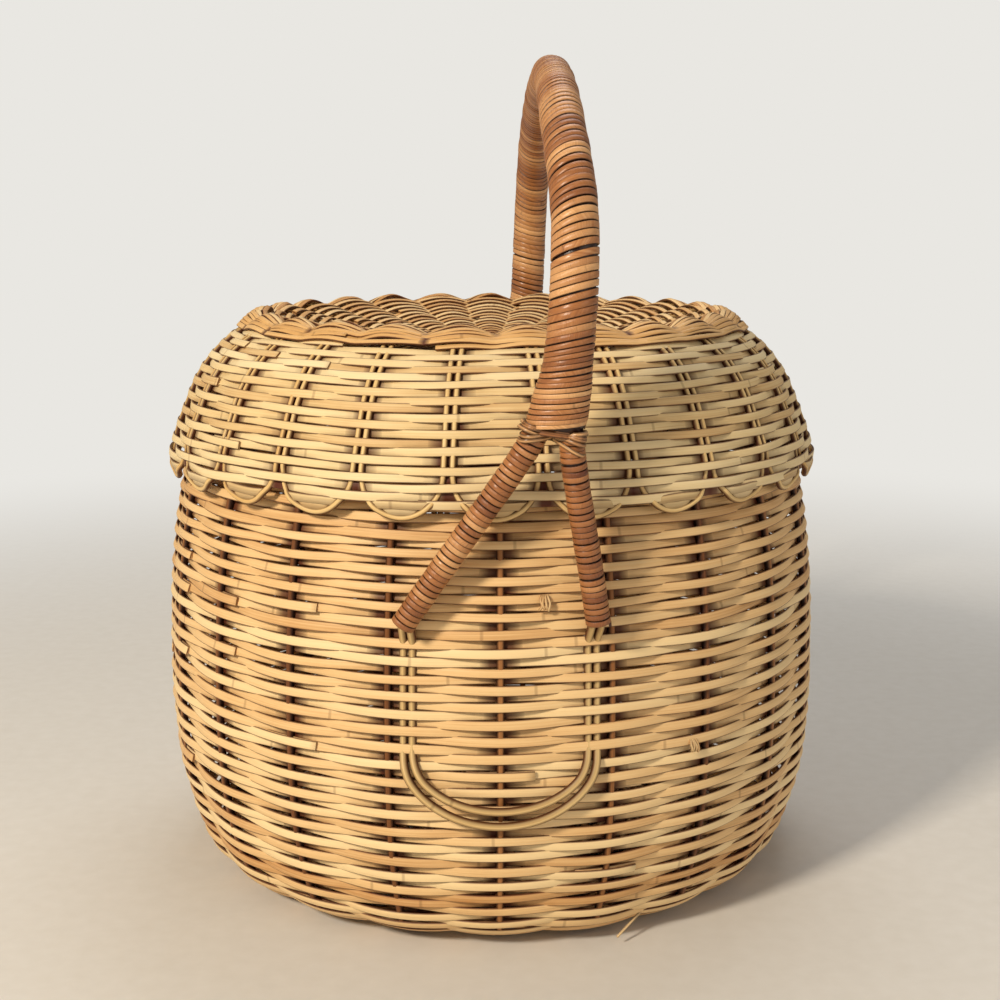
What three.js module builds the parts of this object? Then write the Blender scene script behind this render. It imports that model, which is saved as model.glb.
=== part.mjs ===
// A round, lidded wicker basket with a tall bound-cane handle, in millimetres, +Z up.
// The basket stands on z = 0 with its axis on x = y = 0. The handle spans from the front, -Y, to the back, +Y.
// The weave itself is drawn as closed skins of the true outer shape. The body's has the rows of weave in
// relief, over one stake and behind the next, with the stakes on its inner face. The lid's paired canes lie on
// the outer face of its side, where they bend round into scallops, and its top rises and dips in bands.
import * as THREE from 'three';

// Shared clearances
const seatGap = 0.4; // between two pieces that touch

// Body
const bellyRadius = 200; // widest outer radius
const bellyHeight = 126; // height of the widest place
const baseRadius = 149; // where the wall turns up from the base
const bodyHeight = 276; // floor to the top of the border, which the lid hides
const wallThickness = 6;
const stakeBulge = 0.9; // of a row of weave over a stake, out from the outline
const weaveDip = 4.8; // from there in to where a row passes behind a stake
const weaveSlack = 1.5; // from there in to where the rows cross between two stakes
const weaveRowCount = 32; // rows in relief, each as high as two rows of the real reed
const stakeDiameter = 4.4;
const stakeCount = 21;
const crossGroupCount = 4; // sets of stakes that meet in the base: left, back, right and front
const crossStartSlot = 3; // the stake where the first set starts
const firstStakeAngle = -88.4; // degrees round from +X, so one stake stands just right of the front
const lowerWallShares = [[0, 0], [0.32, 0.03], [0.6, 0.11], [0.77, 0.26], [0.93, 0.5], [0.99, 0.74], [1, 1]];
const upperWallShares = [[0.11, 0.34], [0.34, 0.6], [0.66, 0.82], [1, 1]];

// Base
const baseThickness = 6;
const baseDome = 6; // the middle is pushed up, so that the basket stands on its edge
const baseDomeRadius = 112;
const baseCrossPitch = 5.2; // between neighbouring canes where they cross
const baseFanRadius = 44; // where the canes have spread out from the cross
const baseMiddleRadius = 76;

// Body border
const borderWidth = 12;
const borderHeight = 9;
const borderRipple = 0.7;

// Lid
const lidSkirtInset = 2; // of the lid's edge from the widest place of the body
const lidOverlap = 26; // from the top of the border down to the scalloped edge's shoulders
const lidDepth = 82; // from those shoulders up to the rim
const lidShoulderInset = 44; // how far the rim draws in from the edge
const lidWallThickness = 3;
const lidEdgeLift = 3; // the last row of weave stops this far above the shoulders
const lidCaneDiameter = 3.6;
const lidCaneGap = 0.2; // between the canes and the flat faces of the weave behind them
const lidCanePairPitch = 4.6; // between the two canes of a pair
const lidPairCount = 25;
const firstPairAngle = -96.3;
const scallopDepth = 9; // below the shoulders
const scallopRise = 12; // above them, where a pair starts to part
const lidWallShares = [[0, 0], [0.1, 0.18], [0.26, 0.38], [0.44, 0.59], [0.67, 0.79], [0.9, 0.93]];
const scallopTurnShares = [0, 0.17, 0.38, 0.62, 0.83, 1];

// Lid top
const lidTopThickness = 4;
const lidTopDish = 12; // how far the middle lies below the rim
const lidTopHump = 3.2; // height of the flutes at the edge, which grow lower towards the middle
const lidTopRingShares = [1, 0.87, 0.72, 0.56, 0.4]; // of the radius, from the edge inwards
const lidTopMiddleShare = 0.2; // of the radius, inside which the top is even
const rimRollWidth = 13;
const rimRollHeight = 9;
const rimRollWave = 2.4;

// Handle
const handleSpanGap = 1.8; // between the lid and the arms as the lid rises
const handleRise = 138; // from the rim to the centre line of the grip
const handleShoulderDrop = 2; // from the rim down to where the arms start to turn inwards
const handleForkDrop = 41; // from the rim down to where each arm stands on its two legs
const handleLean = 41; // the widest sideways lean of the arch
const archLeanShares = [0.78, 0.94, 1, 0.89, 0.83, 0.82, 0.78, 0.72, 0.67, 0.61, 0.51];
const archTurnShares = [0.22, 0.5, 0.78]; // of the quarter turn from an arm to the top
const archPower = 2.5; // of the superellipse that the arch follows: 2 is an ellipse, more is squarer
const archStepCount = 18;
const handleCoreRadius = 8;
const handleWrapRadius = 12; // of the arms
const handleGripRadius = 10.6; // of the binding over the top
const handleWrapGroove = 0.9;
const handleRibCount = 72;
const forkFlare = 3.8; // extra half width of the wrap over the two legs
const forkFlareLength = 34;

// Legs and the loops that carry them
const loopCaneDiameter = 4.4;
const loopCanePitch = 4.9; // between the two canes of a leg
const legWrapRadius = 6.5;
const legWrapGroove = 0.6;
const legRibCount = 15;
const legBoreStepCount = 10;
const legCaneShares = [0, 0.03, 0.1, 0.2, 0.35, 0.6, 1]; // where the canes inside a leg have a ring
const legTopSpread = 8.4; // each side of the arm's centre line
const legBendLength = 10; // stretch below the arm in which a leg turns aside
const legFootDrop = 61; // from the lid's edge down to a leg's foot, where it meets the wall
const leftFootAngle = -12.4; // degrees round from the middle of the side, as seen from the front
const rightFootAngle = 15.6;
const loopTurnDrop = 3; // from the widest place down to where the loop starts to round
const loopTurnShares = [0, 0.14, 0.3, 0.43, 0.57, 0.7, 0.86, 1]; // of its half turn
const loopDepth = 42; // from there down to its bottom
const loopBottomGap = 11; // between the two canes under the loop
const loopLeaveLength = 13; // from a leg's foot to where its canes lie on the wall

// Fork lashings
const lashingDiameter = 2;
const lashingPitch = 2.6;
const lashingDrop = 4; // from the top of the legs to the first turn
const lashingLoopCount = 3;
const lashingStepCount = 16; // per loop
const lashingTestCount = 240; // points per loop where its gap to itself is measured
const halvingCount = 24; // enough to place a turn to far less than a thousandth of a millimetre
const matchGap = 0.01; // a corner this near to a point of an outline belongs to it

// Sides of the round sections
const stakeSides = 4;
const lidCaneSides = 4;
const loopCaneSides = 5;
const handleSides = 8;
const lashingSides = 5;

const stakeRadius = stakeDiameter / 2;
const lidCaneRadius = lidCaneDiameter / 2;
const loopCaneRadius = loopCaneDiameter / 2;
const lashingRadius = lashingDiameter / 2;

// The lid sits over the body, and the handle stands round them both.
const lidSkirtRadius = bellyRadius - lidSkirtInset;
const lidRimRadius = lidSkirtRadius - lidShoulderInset;
const lidSkirtHeight = bodyHeight - lidOverlap;
const lidRimHeight = lidSkirtHeight + lidDepth;
const handleHalfSpan = lidSkirtRadius + handleSpanGap + handleWrapRadius;
const handleTop = lidRimHeight + handleRise;
const handleShoulder = lidRimHeight - handleShoulderDrop;
const handleFork = lidRimHeight - handleForkDrop;
const legFootHeight = lidSkirtHeight - legFootDrop;
const loopTurnHeight = bellyHeight - loopTurnDrop;
const loopBottomHeight = loopTurnHeight - loopDepth;
const turn = 2 * Math.PI;

// A point at a radius, an angle round the axis in radians, and a height.
function polar(radius, angle, height) {
  return new THREE.Vector3(radius * Math.cos(angle), radius * Math.sin(angle), height);
}

// The outline moved along its own normals: to its left for a positive distance.
// The two ends move square to the directions given for them, so that they meet a flat neighbour.
function offsetOutline(outline, distance, firstNormal, lastNormal) {
  return outline.map((point, index) => {
    const before = outline[Math.max(index - 1, 0)];
    const after = outline[Math.min(index + 1, outline.length - 1)];
    const along = new THREE.Vector2().subVectors(after, before).normalize();
    let normal = new THREE.Vector2(-along.y, along.x);
    if (index === 0 && firstNormal) normal = firstNormal;
    if (index === outline.length - 1 && lastNormal) normal = lastNormal;
    return point.clone().addScaledVector(normal, distance);
  });
}

// A solid of revolution round Z. The profile holds (radius, height) pairs, counter-clockwise, and either
// closes on itself or starts and ends on the axis. ripple(angle, radius, height) gives a vertex's
// shift as { out, up }.
function revolve(profile, segments, startAngle, ripple) {
  const geometry = new THREE.LatheGeometry(profile, segments);
  geometry.rotateX(Math.PI / 2);
  geometry.rotateZ(startAngle - Math.PI / 2);
  if (!ripple) return geometry;
  const position = geometry.getAttribute('position');
  for (let index = 0; index < position.count; index += 1) {
    const radius = Math.hypot(position.getX(index), position.getY(index));
    const angle = Math.atan2(position.getY(index), position.getX(index));
    const shift = ripple(angle, radius, position.getZ(index));
    const moved = polar(radius + shift.out, angle, position.getZ(index) + shift.up);
    position.setXYZ(index, moved.x, moved.y, moved.z);
  }
  return geometry;
}

// A closed profile with its first point repeated at its end.
function closedProfile(points) {
  return [...points, points[0].clone()];
}

// A run of cane through given points: one ring of its section stands at each point, square to the run there.
class CaneRun extends THREE.Curve {
  constructor(points) {
    super();
    this.points = points;
  }

  getPoint(share, target = new THREE.Vector3()) {
    const place = share * (this.points.length - 1);
    const index = Math.min(Math.floor(place), this.points.length - 2);
    return target.lerpVectors(this.points[index], this.points[index + 1], place - index);
  }

  getSpacedPoints() {
    return this.points;
  }

  getTangentAt(share, target = new THREE.Vector3()) {
    const index = Math.round(share * (this.points.length - 1));
    const before = this.points[Math.max(index - 1, 0)];
    const after = this.points[Math.min(index + 1, this.points.length - 1)];
    return target.subVectors(after, before).normalize();
  }
}

// A round section with its corners on the given radius.
function roundSection(radius, sides) {
  const corners = [];
  for (let side = 0; side < sides; side += 1) {
    const angle = (turn * (side + 0.5)) / sides;
    corners.push(new THREE.Vector2(radius * Math.cos(angle), radius * Math.sin(angle)));
  }
  return new THREE.Shape(corners);
}

// A round cane through the points, with a ring at each.
function cane(points, radius, sides) {
  const extrudePath = new CaneRun(points);
  return new THREE.ExtrudeGeometry(roundSection(radius, sides), { steps: points.length - 1, extrudePath });
}

// The direction nearest to X that is square to a run's tangent.
function sidewaysOf(tangent) {
  return new THREE.Vector3(1, 0, 0).projectOnPlane(tangent).normalize();
}

// A sleeve of close turns round a core that follows the curve: ribs outside and a plain bore inside.
// wrap gives the bore, crest and groove radii, the rib and bore step counts, swell(share), by which the
// outside is scaled, and widen(share), by which a ring is stretched sideways.
function ribbedSleeve(curve, wrap) {
  const stepCount = 2 * wrap.ribCount;
  const frames = curve.computeFrenetFrames(stepCount, false);
  const rings = [];
  for (let step = 0; step <= stepCount; step += 1) {
    const radius = step % 2 === 0 ? wrap.groove : wrap.crest;
    rings.push({ step, radius: radius * wrap.swell(step / stepCount) });
  }
  for (let boreStep = wrap.boreStepCount; boreStep >= 0; boreStep -= 1) {
    rings.push({ step: Math.round((boreStep * stepCount) / wrap.boreStepCount), radius: wrap.bore });
  }
  const positions = [];
  for (const ring of rings) {
    const share = ring.step / stepCount;
    const centre = curve.getPointAt(share);
    const sideways = sidewaysOf(frames.tangents[ring.step]);
    for (let side = 0; side < handleSides; side += 1) {
      const angle = (turn * (side + 0.5)) / handleSides;
      const offset = new THREE.Vector3()
        .addScaledVector(frames.normals[ring.step], ring.radius * Math.cos(angle))
        .addScaledVector(frames.binormals[ring.step], ring.radius * Math.sin(angle));
      offset.addScaledVector(sideways, (wrap.widen(share) - 1) * offset.dot(sideways));
      positions.push(centre.x + offset.x, centre.y + offset.y, centre.z + offset.z);
    }
  }
  const indices = [];
  for (let row = 0; row < rings.length; row += 1) {
    const nextRow = (row + 1) % rings.length;
    for (let side = 0; side < handleSides; side += 1) {
      const nextSide = (side + 1) % handleSides;
      const a = row * handleSides + side;
      const b = row * handleSides + nextSide;
      const c = nextRow * handleSides + nextSide;
      const d = nextRow * handleSides + side;
      indices.push(a, b, c, a, c, d);
    }
  }
  const geometry = new THREE.BufferGeometry();
  geometry.setAttribute('position', new THREE.Float32BufferAttribute(positions, 3));
  geometry.setIndex(indices);
  return geometry;
}

// The radius of an outline at a height, between its points. The outline rises from its first point.
function radiusAt(outline, height) {
  const above = outline.findIndex((point) => point.y >= height);
  const upperPoint = outline[Math.max(above, 1)];
  const lowerPoint = outline[Math.max(above, 1) - 1];
  const share = (height - lowerPoint.y) / (upperPoint.y - lowerPoint.y);
  return THREE.MathUtils.lerp(lowerPoint.x, upperPoint.x, share);
}

const upwards = new THREE.Vector2(0, 1);
const inwards = new THREE.Vector2(-1, 0);

// The lid's outline at the outside of its canes, from the scalloped edge up to the foot of the rim.
const lidShape = lidWallShares.map(([inShare, upShare]) => new THREE.Vector2(
  lidSkirtRadius - inShare * (lidSkirtRadius - lidRimRadius),
  lidSkirtHeight + upShare * (lidRimHeight - lidSkirtHeight),
));
const lidWeaveInset = lidCaneDiameter + lidCaneGap;
const lidWeaveOuter = offsetOutline(lidShape, lidWeaveInset, inwards);
const lidWeaveInner = offsetOutline(lidShape, lidWeaveInset + lidWallThickness, inwards);
const lidWeaveTop = lidWeaveOuter[lidWeaveOuter.length - 1].y;
const rimRollRadius = (lidWeaveOuter[lidWeaveOuter.length - 1].x + lidWeaveInner[lidWeaveInner.length - 1].x) / 2;

// The lid rests on the border where its side, drawn as a polygon of two faces for each rib, narrows to it.
const lidFaceShare = Math.cos(Math.PI / (2 * lidPairCount));
const borderRadius = radiusAt(lidWeaveInner, bodyHeight - borderHeight / 2) * lidFaceShare - seatGap;

// The body's outer outline, as (radius, height) from the base's edge up to the foot of the border.
function bodyOutline() {
  const wallTop = bodyHeight - borderHeight - seatGap;
  const lower = lowerWallShares.map(([outShare, upShare]) => new THREE.Vector2(
    baseRadius + outShare * (bellyRadius - baseRadius),
    upShare * bellyHeight,
  ));
  const upper = upperWallShares.map(([inShare, upShare]) => new THREE.Vector2(
    bellyRadius - inShare * (bellyRadius - borderRadius),
    bellyHeight + upShare * (wallTop - bellyHeight),
  ));
  return [...lower, ...upper];
}

const wallOutline = bodyOutline();
const innerOutline = wallOutline.filter((point, index) => index % 2 === 0 || index === wallOutline.length - 1);
const stakeStep = turn / stakeCount;
const firstStake = THREE.MathUtils.degToRad(firstStakeAngle);

// How far a row of weave stands out from the outline: over one stake and behind the next. Each row swaps
// them, and the first and last rows lie plain.
function weaveRelief(row, angle) {
  if (row < 1 || row >= weaveRowCount) return 0;
  const halfStep = Math.round((2 * (angle - firstStake)) / stakeStep) + 2 * stakeCount;
  if (halfStep % 2 === 1) return stakeBulge - weaveSlack;
  const stake = (halfStep / 2) % stakeCount;
  return (stake + row) % 2 === 0 ? stakeBulge : stakeBulge - weaveDip;
}

// The woven wall, with its rows in relief outside and plain within.
function bodyWall() {
  const rows = new THREE.Path(wallOutline).getSpacedPoints(weaveRowCount);
  const inner = offsetOutline(innerOutline, wallThickness, upwards, inwards);
  const profile = closedProfile([...rows, ...inner.reverse()]);
  return revolve(profile, 2 * stakeCount, firstStake, (angle, radius, height) => {
    const corner = new THREE.Vector2(radius, height);
    const row = rows.findIndex((point) => point.distanceTo(corner) < matchGap);
    return { out: weaveRelief(row, angle), up: 0 };
  });
}

// Height of the base's upper face over the floor at a radius: flat at the edge, domed in the middle.
function baseTopAt(radius) {
  const share = Math.min(radius / baseDomeRadius, 1);
  return baseThickness + baseDome * (1 - share * share);
}

const baseRingRadii = [0, baseFanRadius, baseMiddleRadius, baseDomeRadius, baseRadius - seatGap];

// The woven base: a disc of one thickness, standing on its flat outer ring.
function baseWeave() {
  const upper = baseRingRadii.map((radius) => new THREE.Vector2(radius, baseTopAt(radius)));
  const lower = upper.map((point) => new THREE.Vector2(point.x, point.y - baseThickness));
  return revolve([...lower, ...upper.reverse()], 2 * stakeCount, firstStake);
}

// The border that closes the wall, with a ripple like a laid edge.
function bodyBorder() {
  const middle = new THREE.Vector2(borderRadius - borderWidth / 2, bodyHeight - borderHeight / 2);
  const sides = 6;
  const section = [];
  for (let side = 0; side < sides; side += 1) {
    const angle = (turn * side) / sides;
    section.push(new THREE.Vector2(
      middle.x + (borderWidth / 2) * Math.cos(angle),
      middle.y + (borderHeight / 2) * Math.sin(angle),
    ));
  }
  return revolve(closedProfile(section), 2 * stakeCount, firstStake, (angle, radius) => ({
    out: radius < middle.x ? borderRipple * Math.cos(stakeCount * (angle - firstStake)) : 0,
    up: 0,
  }));
}

// One stake's course: down the inner face of the wall and in over the base as far as the fan.
function stakeCourse(slot) {
  const angle = firstStake + slot * stakeStep;
  const inset = wallThickness + seatGap + stakeRadius;
  const wall = offsetOutline(innerOutline, inset, upwards, inwards).reverse();
  const onWall = wall.map((point) => polar(point.x, angle, point.y));
  const overBase = [baseDomeRadius, baseMiddleRadius, baseFanRadius].map((radius) => (
    polar(radius, angle, baseTopAt(radius) + seatGap + stakeRadius)
  ));
  return [...onWall, ...overBase];
}

// The long body canes: two layers cross in the middle of the base, and a spare one fills an odd place.
function bodyCanes() {
  const groupSize = Math.floor(stakeCount / crossGroupCount);
  const crossHalf = (groupSize * baseCrossPitch) / 2 + stakeRadius;
  const crossHeight = baseTopAt(0) + seatGap + stakeRadius;
  const layerRise = stakeDiameter + seatGap;
  const slotOf = (group, place) => (crossStartSlot + group * groupSize + place) % stakeCount;
  const canes = [];
  for (let layer = 0; layer < 2; layer += 1) {
    for (let place = 0; place < groupSize; place += 1) {
      const aside = (place - (groupSize - 1) / 2) * baseCrossPitch;
      const height = crossHeight + layer * layerRise;
      const ends = [1, -1].map((way) => (
        layer === 0
          ? new THREE.Vector3(way * crossHalf, aside, height)
          : new THREE.Vector3(-aside, way * crossHalf, height)
      ));
      const start = stakeCourse(slotOf(layer, place));
      const finish = stakeCourse(slotOf(layer + 2, groupSize - 1 - place)).reverse();
      canes.push([...start, ...ends, ...finish]);
    }
  }
  for (let spare = crossGroupCount * groupSize; spare < stakeCount; spare += 1) {
    canes.push(stakeCourse((crossStartSlot + spare) % stakeCount));
  }
  return canes.map((points) => cane(points, stakeRadius, stakeSides));
}

const pairStep = turn / lidPairCount;
const firstPair = THREE.MathUtils.degToRad(firstPairAngle);

// The lid's woven side, just inside its canes. Its last row stops a little above the edge.
function lidSide() {
  const profile = [...lidWeaveOuter, ...[...lidWeaveInner].reverse()].map((point) => (
    new THREE.Vector2(point.x, Math.max(point.y, lidSkirtHeight + lidEdgeLift))
  ));
  return revolve(closedProfile(profile), 2 * lidPairCount, firstPair);
}

// One bent cane: down beside one rib, round the scallop and up beside the next.
function lidCane(index) {
  const start = firstPair + index * pairStep;
  const inner = offsetOutline(lidShape, lidCaneRadius, inwards);
  const leg = (side) => inner.slice(1).map((point) => {
    const aside = lidCanePairPitch / 2 / point.x;
    const angle = side < 0 ? start + aside : start + pairStep - aside;
    return polar(point.x, angle, point.y);
  });
  const edge = inner[0];
  const aside = lidCanePairPitch / 2 / edge.x;
  const halfWidth = pairStep / 2 - aside;
  const scallop = scallopTurnShares.map((share) => {
    const angle = Math.PI * (1 + share);
    const along = start + pairStep / 2 + halfWidth * Math.cos(angle);
    const depth = scallopDepth + scallopRise;
    return polar(edge.x, along, lidSkirtHeight + scallopRise + depth * Math.sin(angle));
  });
  return cane([...leg(-1).reverse(), ...scallop, ...leg(1)], lidCaneRadius, lidCaneSides);
}

// The dished top of the lid, inside the rim. Its weave is fluted: it rises over every rib and dips between
// them, from the edge nearly to the middle. Its under face is plain.
function lidTop() {
  const edgeRadius = rimRollRadius - rimRollWidth / 2 - seatGap;
  const pointAt = (share) => new THREE.Vector2(
    share * edgeRadius,
    lidRimHeight - lidTopDish * (1 - share * share * share),
  );
  const rings = lidTopRingShares.map(pointAt);
  const middle = [lidTopMiddleShare, 0].map(pointAt);
  const lower = [middle[1], rings[rings.length - 1], rings[0]].map((point) => (
    new THREE.Vector2(point.x, point.y - lidTopThickness)
  ));
  return revolve([...lower, ...rings, ...middle], 2 * lidPairCount, firstPair, (angle, radius, height) => {
    const corner = new THREE.Vector2(radius, height);
    const isOnTop = rings.some((point) => point.distanceTo(corner) < matchGap);
    const swell = lidTopHump * (radius / edgeRadius) * Math.cos(lidPairCount * (angle - firstPair));
    return { out: 0, up: isOnTop ? swell : 0 };
  });
}

// The wavy roll round the shoulder, one hump at every rib.
function lidRimRoll() {
  const sides = 5;
  const flatShare = Math.cos(Math.PI / sides);
  const middle = new THREE.Vector2(
    rimRollRadius,
    lidWeaveTop + seatGap + rimRollWave + (rimRollHeight / 2) * flatShare,
  );
  const section = [];
  for (let side = 0; side < sides; side += 1) {
    const angle = (turn * (side + 0.25)) / sides;
    section.push(new THREE.Vector2(
      middle.x + (rimRollWidth / 2) * Math.cos(angle),
      middle.y + (rimRollHeight / 2) * Math.sin(angle),
    ));
  }
  return revolve(closedProfile(section), 4 * lidPairCount, firstPair, (angle) => ({
    out: 0,
    up: rimRollWave * Math.cos(lidPairCount * (angle - firstPair)),
  }));
}

// The centre line of the handle, from the front fork over the top to the back fork.
function archCurve() {
  const rise = handleTop - handleShoulder;
  const angles = archTurnShares.map((share) => (share * Math.PI) / 2);
  const frontHalf = [
    new THREE.Vector2(handleHalfSpan, handleFork),
    new THREE.Vector2(handleHalfSpan, handleShoulder),
    ...angles.map((angle) => new THREE.Vector2(
      handleHalfSpan * Math.cos(angle) ** (2 / archPower),
      handleShoulder + rise * Math.sin(angle) ** (2 / archPower),
    )),
  ];
  const backHalf = [...frontHalf].reverse();
  const sidePoints = [
    ...frontHalf.map((point) => [-point.x, point.y]),
    [0, handleTop],
    ...backHalf.map((point) => [point.x, point.y]),
  ];
  const points = sidePoints.map(([along, height], index) => (
    new THREE.Vector3(archLeanShares[index] * handleLean, along, height)
  ));
  return new THREE.CatmullRomCurve3(points, false, 'centripetal');
}

const arch = archCurve();

// The solid bundle inside the handle's binding.
function handleCore() {
  return new THREE.ExtrudeGeometry(roundSection(handleCoreRadius, handleSides), {
    steps: archStepCount,
    extrudePath: arch,
  });
}

// The binding, a close winding drawn as ribs, which widens where it takes in the two legs.
function handleWrap() {
  const flareShare = forkFlareLength / arch.getLength();
  return ribbedSleeve(arch, {
    bore: handleCoreRadius + seatGap,
    crest: handleWrapRadius,
    groove: handleWrapRadius - handleWrapGroove,
    ribCount: handleRibCount,
    boreStepCount: archStepCount,
    swell: (share) => 1 - (1 - handleGripRadius / handleWrapRadius) * Math.sin(Math.PI * share) ** 2,
    widen: (share) => {
      const fromEnd = Math.min(share, 1 - share) / flareShare;
      return 1 + (forkFlare / handleWrapRadius) * Math.max(1 - fromEnd, 0);
    },
  });
}

// The two forks: front is -Y and back is +Y. up runs from the fork into the arch.
const forks = [
  { name: 'front', way: -1, end: arch.getPointAt(0), up: arch.getTangentAt(0) },
  { name: 'back', way: 1, end: arch.getPointAt(1), up: arch.getTangentAt(1).negate() },
];

// One leg's centre line, from under the arm, where it starts in line with it, down to its foot on the wall.
function legCurve(fork, side) {
  const top = fork.end.clone()
    .addScaledVector(fork.up, -seatGap)
    .addScaledVector(sidewaysOf(fork.up), side * legTopSpread);
  const bend = top.clone().addScaledVector(fork.up, -legBendLength);
  const footAngle = THREE.MathUtils.degToRad(side < 0 ? leftFootAngle : rightFootAngle);
  const footRadius = radiusAt(wallOutline, legFootHeight) + stakeBulge + seatGap + legWrapRadius;
  const foot = new THREE.Vector3(
    footRadius * Math.sin(footAngle),
    fork.way * footRadius * Math.cos(footAngle),
    legFootHeight,
  );
  const middle = top.clone().lerp(foot, 0.5);
  return new THREE.CubicBezierCurve3(top, bend, middle, foot);
}

// The binding of one leg round the two canes of the loop.
function legWrap(fork, side) {
  return ribbedSleeve(legCurve(fork, side), {
    bore: (loopCanePitch / 2 + loopCaneRadius + seatGap) / Math.cos(Math.PI / handleSides),
    crest: legWrapRadius,
    groove: legWrapRadius - legWrapGroove,
    ribCount: legRibCount,
    boreStepCount: legBoreStepCount,
    swell: () => 1,
    widen: () => 1,
  });
}

// One cane of a loop: down one leg, down the wall, round under the loop, and up into the other leg.
// rank is -1 for the inner cane of the two and 1 for the outer.
function loopCane(fork, rank) {
  const onWall = (angle, height) => {
    const radius = radiusAt(wallOutline, height) + stakeBulge + seatGap + loopCaneRadius;
    return new THREE.Vector3(radius * Math.sin(angle), fork.way * radius * Math.cos(angle), height);
  };
  const inLeg = (side) => {
    const line = legCurve(fork, side);
    return legCaneShares.map((share) => {
      const sideways = sidewaysOf(line.getTangentAt(share));
      return line.getPointAt(share).addScaledVector(sideways, (side * rank * loopCanePitch) / 2);
    });
  };
  const wallAngle = (side) => {
    const foot = THREE.MathUtils.degToRad(side < 0 ? leftFootAngle : rightFootAngle);
    return foot + (side * rank * loopCanePitch) / 2 / radiusAt(wallOutline, loopTurnHeight);
  };
  const left = wallAngle(-1);
  const right = wallAngle(1);
  const bottomHeight = loopBottomHeight + (rank < 0 ? loopBottomGap : 0);
  const loop = loopTurnShares.map((share) => {
    const angle = Math.PI * (1 + share);
    const along = (left + right) / 2 + ((right - left) / 2) * Math.cos(angle);
    return onWall(along, loopTurnHeight + (loopTurnHeight - bottomHeight) * Math.sin(angle));
  });
  const leaveHeight = legFootHeight - loopLeaveLength;
  return cane([
    ...inLeg(-1),
    onWall(left, leaveHeight),
    ...loop,
    onWall(right, leaveHeight),
    ...inLeg(1).reverse(),
  ], loopCaneRadius, loopCaneSides);
}

// The share of its course at which a falling curve passes a height, found by halving.
function shareAtHeight(curve, height) {
  let above = 0;
  let below = 1;
  for (let halving = 0; halving < halvingCount; halving += 1) {
    const middle = (above + below) / 2;
    if (curve.getPoint(middle).z > height) above = middle;
    else below = middle;
  }
  return above;
}

// The course of a lashing: level turns round both legs just under the arm, spreading with the legs.
class LashingCourse extends THREE.Curve {
  constructor(fork) {
    super();
    this.left = legCurve(fork, -1);
    this.right = legCurve(fork, 1);
    this.startHeight = Math.min(this.left.v0.z, this.right.v0.z) - lashingDrop;
  }

  getPoint(share, target = new THREE.Vector3()) {
    const reach = legWrapRadius + seatGap + lashingRadius;
    const height = this.startHeight - share * lashingPitch * lashingLoopCount;
    const angle = turn * lashingLoopCount * share;
    const leg = Math.cos(angle) >= 0 ? this.right : this.left;
    const legShare = shareAtHeight(leg, height);
    const nearest = leg.getPoint(legShare);
    const sidewaysReach = reach / Math.abs(leg.getTangent(legShare).z);
    return target.set(
      nearest.x + sidewaysReach * Math.cos(angle),
      nearest.y + reach * Math.sin(angle),
      height,
    );
  }
}

// The least gap between one turn of a winding and the next, measured on points along it.
function leastGapToItself(course, loops, radius) {
  const stations = lashingTestCount * loops;
  const points = course.getPoints(stations);
  const apart = Math.round((0.5 * stations) / loops);
  let least = Infinity;
  for (let first = 0; first < points.length; first += 1) {
    for (let second = first + apart; second < points.length; second += 1) {
      least = Math.min(least, points[first].distanceTo(points[second]));
    }
  }
  return least - 2 * radius;
}

// The lashing that draws the two legs together under the arm.
function forkLashing(fork) {
  const course = new LashingCourse(fork);
  const gap = leastGapToItself(course, lashingLoopCount, lashingRadius);
  console.log(`${fork.name} fork lashing: least gap to itself ${gap.toFixed(2)} mm`);
  return new THREE.ExtrudeGeometry(roundSection(lashingRadius, lashingSides), {
    steps: lashingStepCount * lashingLoopCount,
    extrudePath: course,
  });
}

// Finishes: pale cane for the lid, golden for the body and red-brown for the bound handle.
const lidStraw = { color: 0xecc878, roughness: 0.62, metalness: 0 };
const bodyStraw = { color: 0xdda54c, roughness: 0.65, metalness: 0 };
const stakeCane = { color: 0xc98f45, roughness: 0.6, metalness: 0 };
const boundCane = { color: 0xc07a3a, roughness: 0.5, metalness: 0 };

const basket = new THREE.Group();

// Adds one named piece to a group, with a material of its own.
function addPiece(group, name, geometry, finish) {
  const mesh = new THREE.Mesh(geometry, new THREE.MeshStandardMaterial(finish));
  mesh.name = name;
  group.add(mesh);
}

// The fixed basket.
const body = new THREE.Group();
addPiece(body, 'base_weave', baseWeave(), bodyStraw);
addPiece(body, 'body_wall_weave', bodyWall(), bodyStraw);
addPiece(body, 'body_border', bodyBorder(), bodyStraw);
bodyCanes().forEach((geometry, index) => {
  addPiece(body, `body_cane_${String(index + 1).padStart(2, '0')}`, geometry, stakeCane);
});

// The handle, bound to the body for good.
addPiece(body, 'handle_core', handleCore(), stakeCane);
addPiece(body, 'handle_wrap', handleWrap(), boundCane);
for (const fork of forks) {
  addPiece(body, `${fork.name}_left_leg_wrap`, legWrap(fork, -1), boundCane);
  addPiece(body, `${fork.name}_right_leg_wrap`, legWrap(fork, 1), boundCane);
  addPiece(body, `${fork.name}_loop_inner`, loopCane(fork, -1), stakeCane);
  addPiece(body, `${fork.name}_loop_outer`, loopCane(fork, 1), stakeCane);
  addPiece(body, `${fork.name}_fork_lashing`, forkLashing(fork), boundCane);
}

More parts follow.
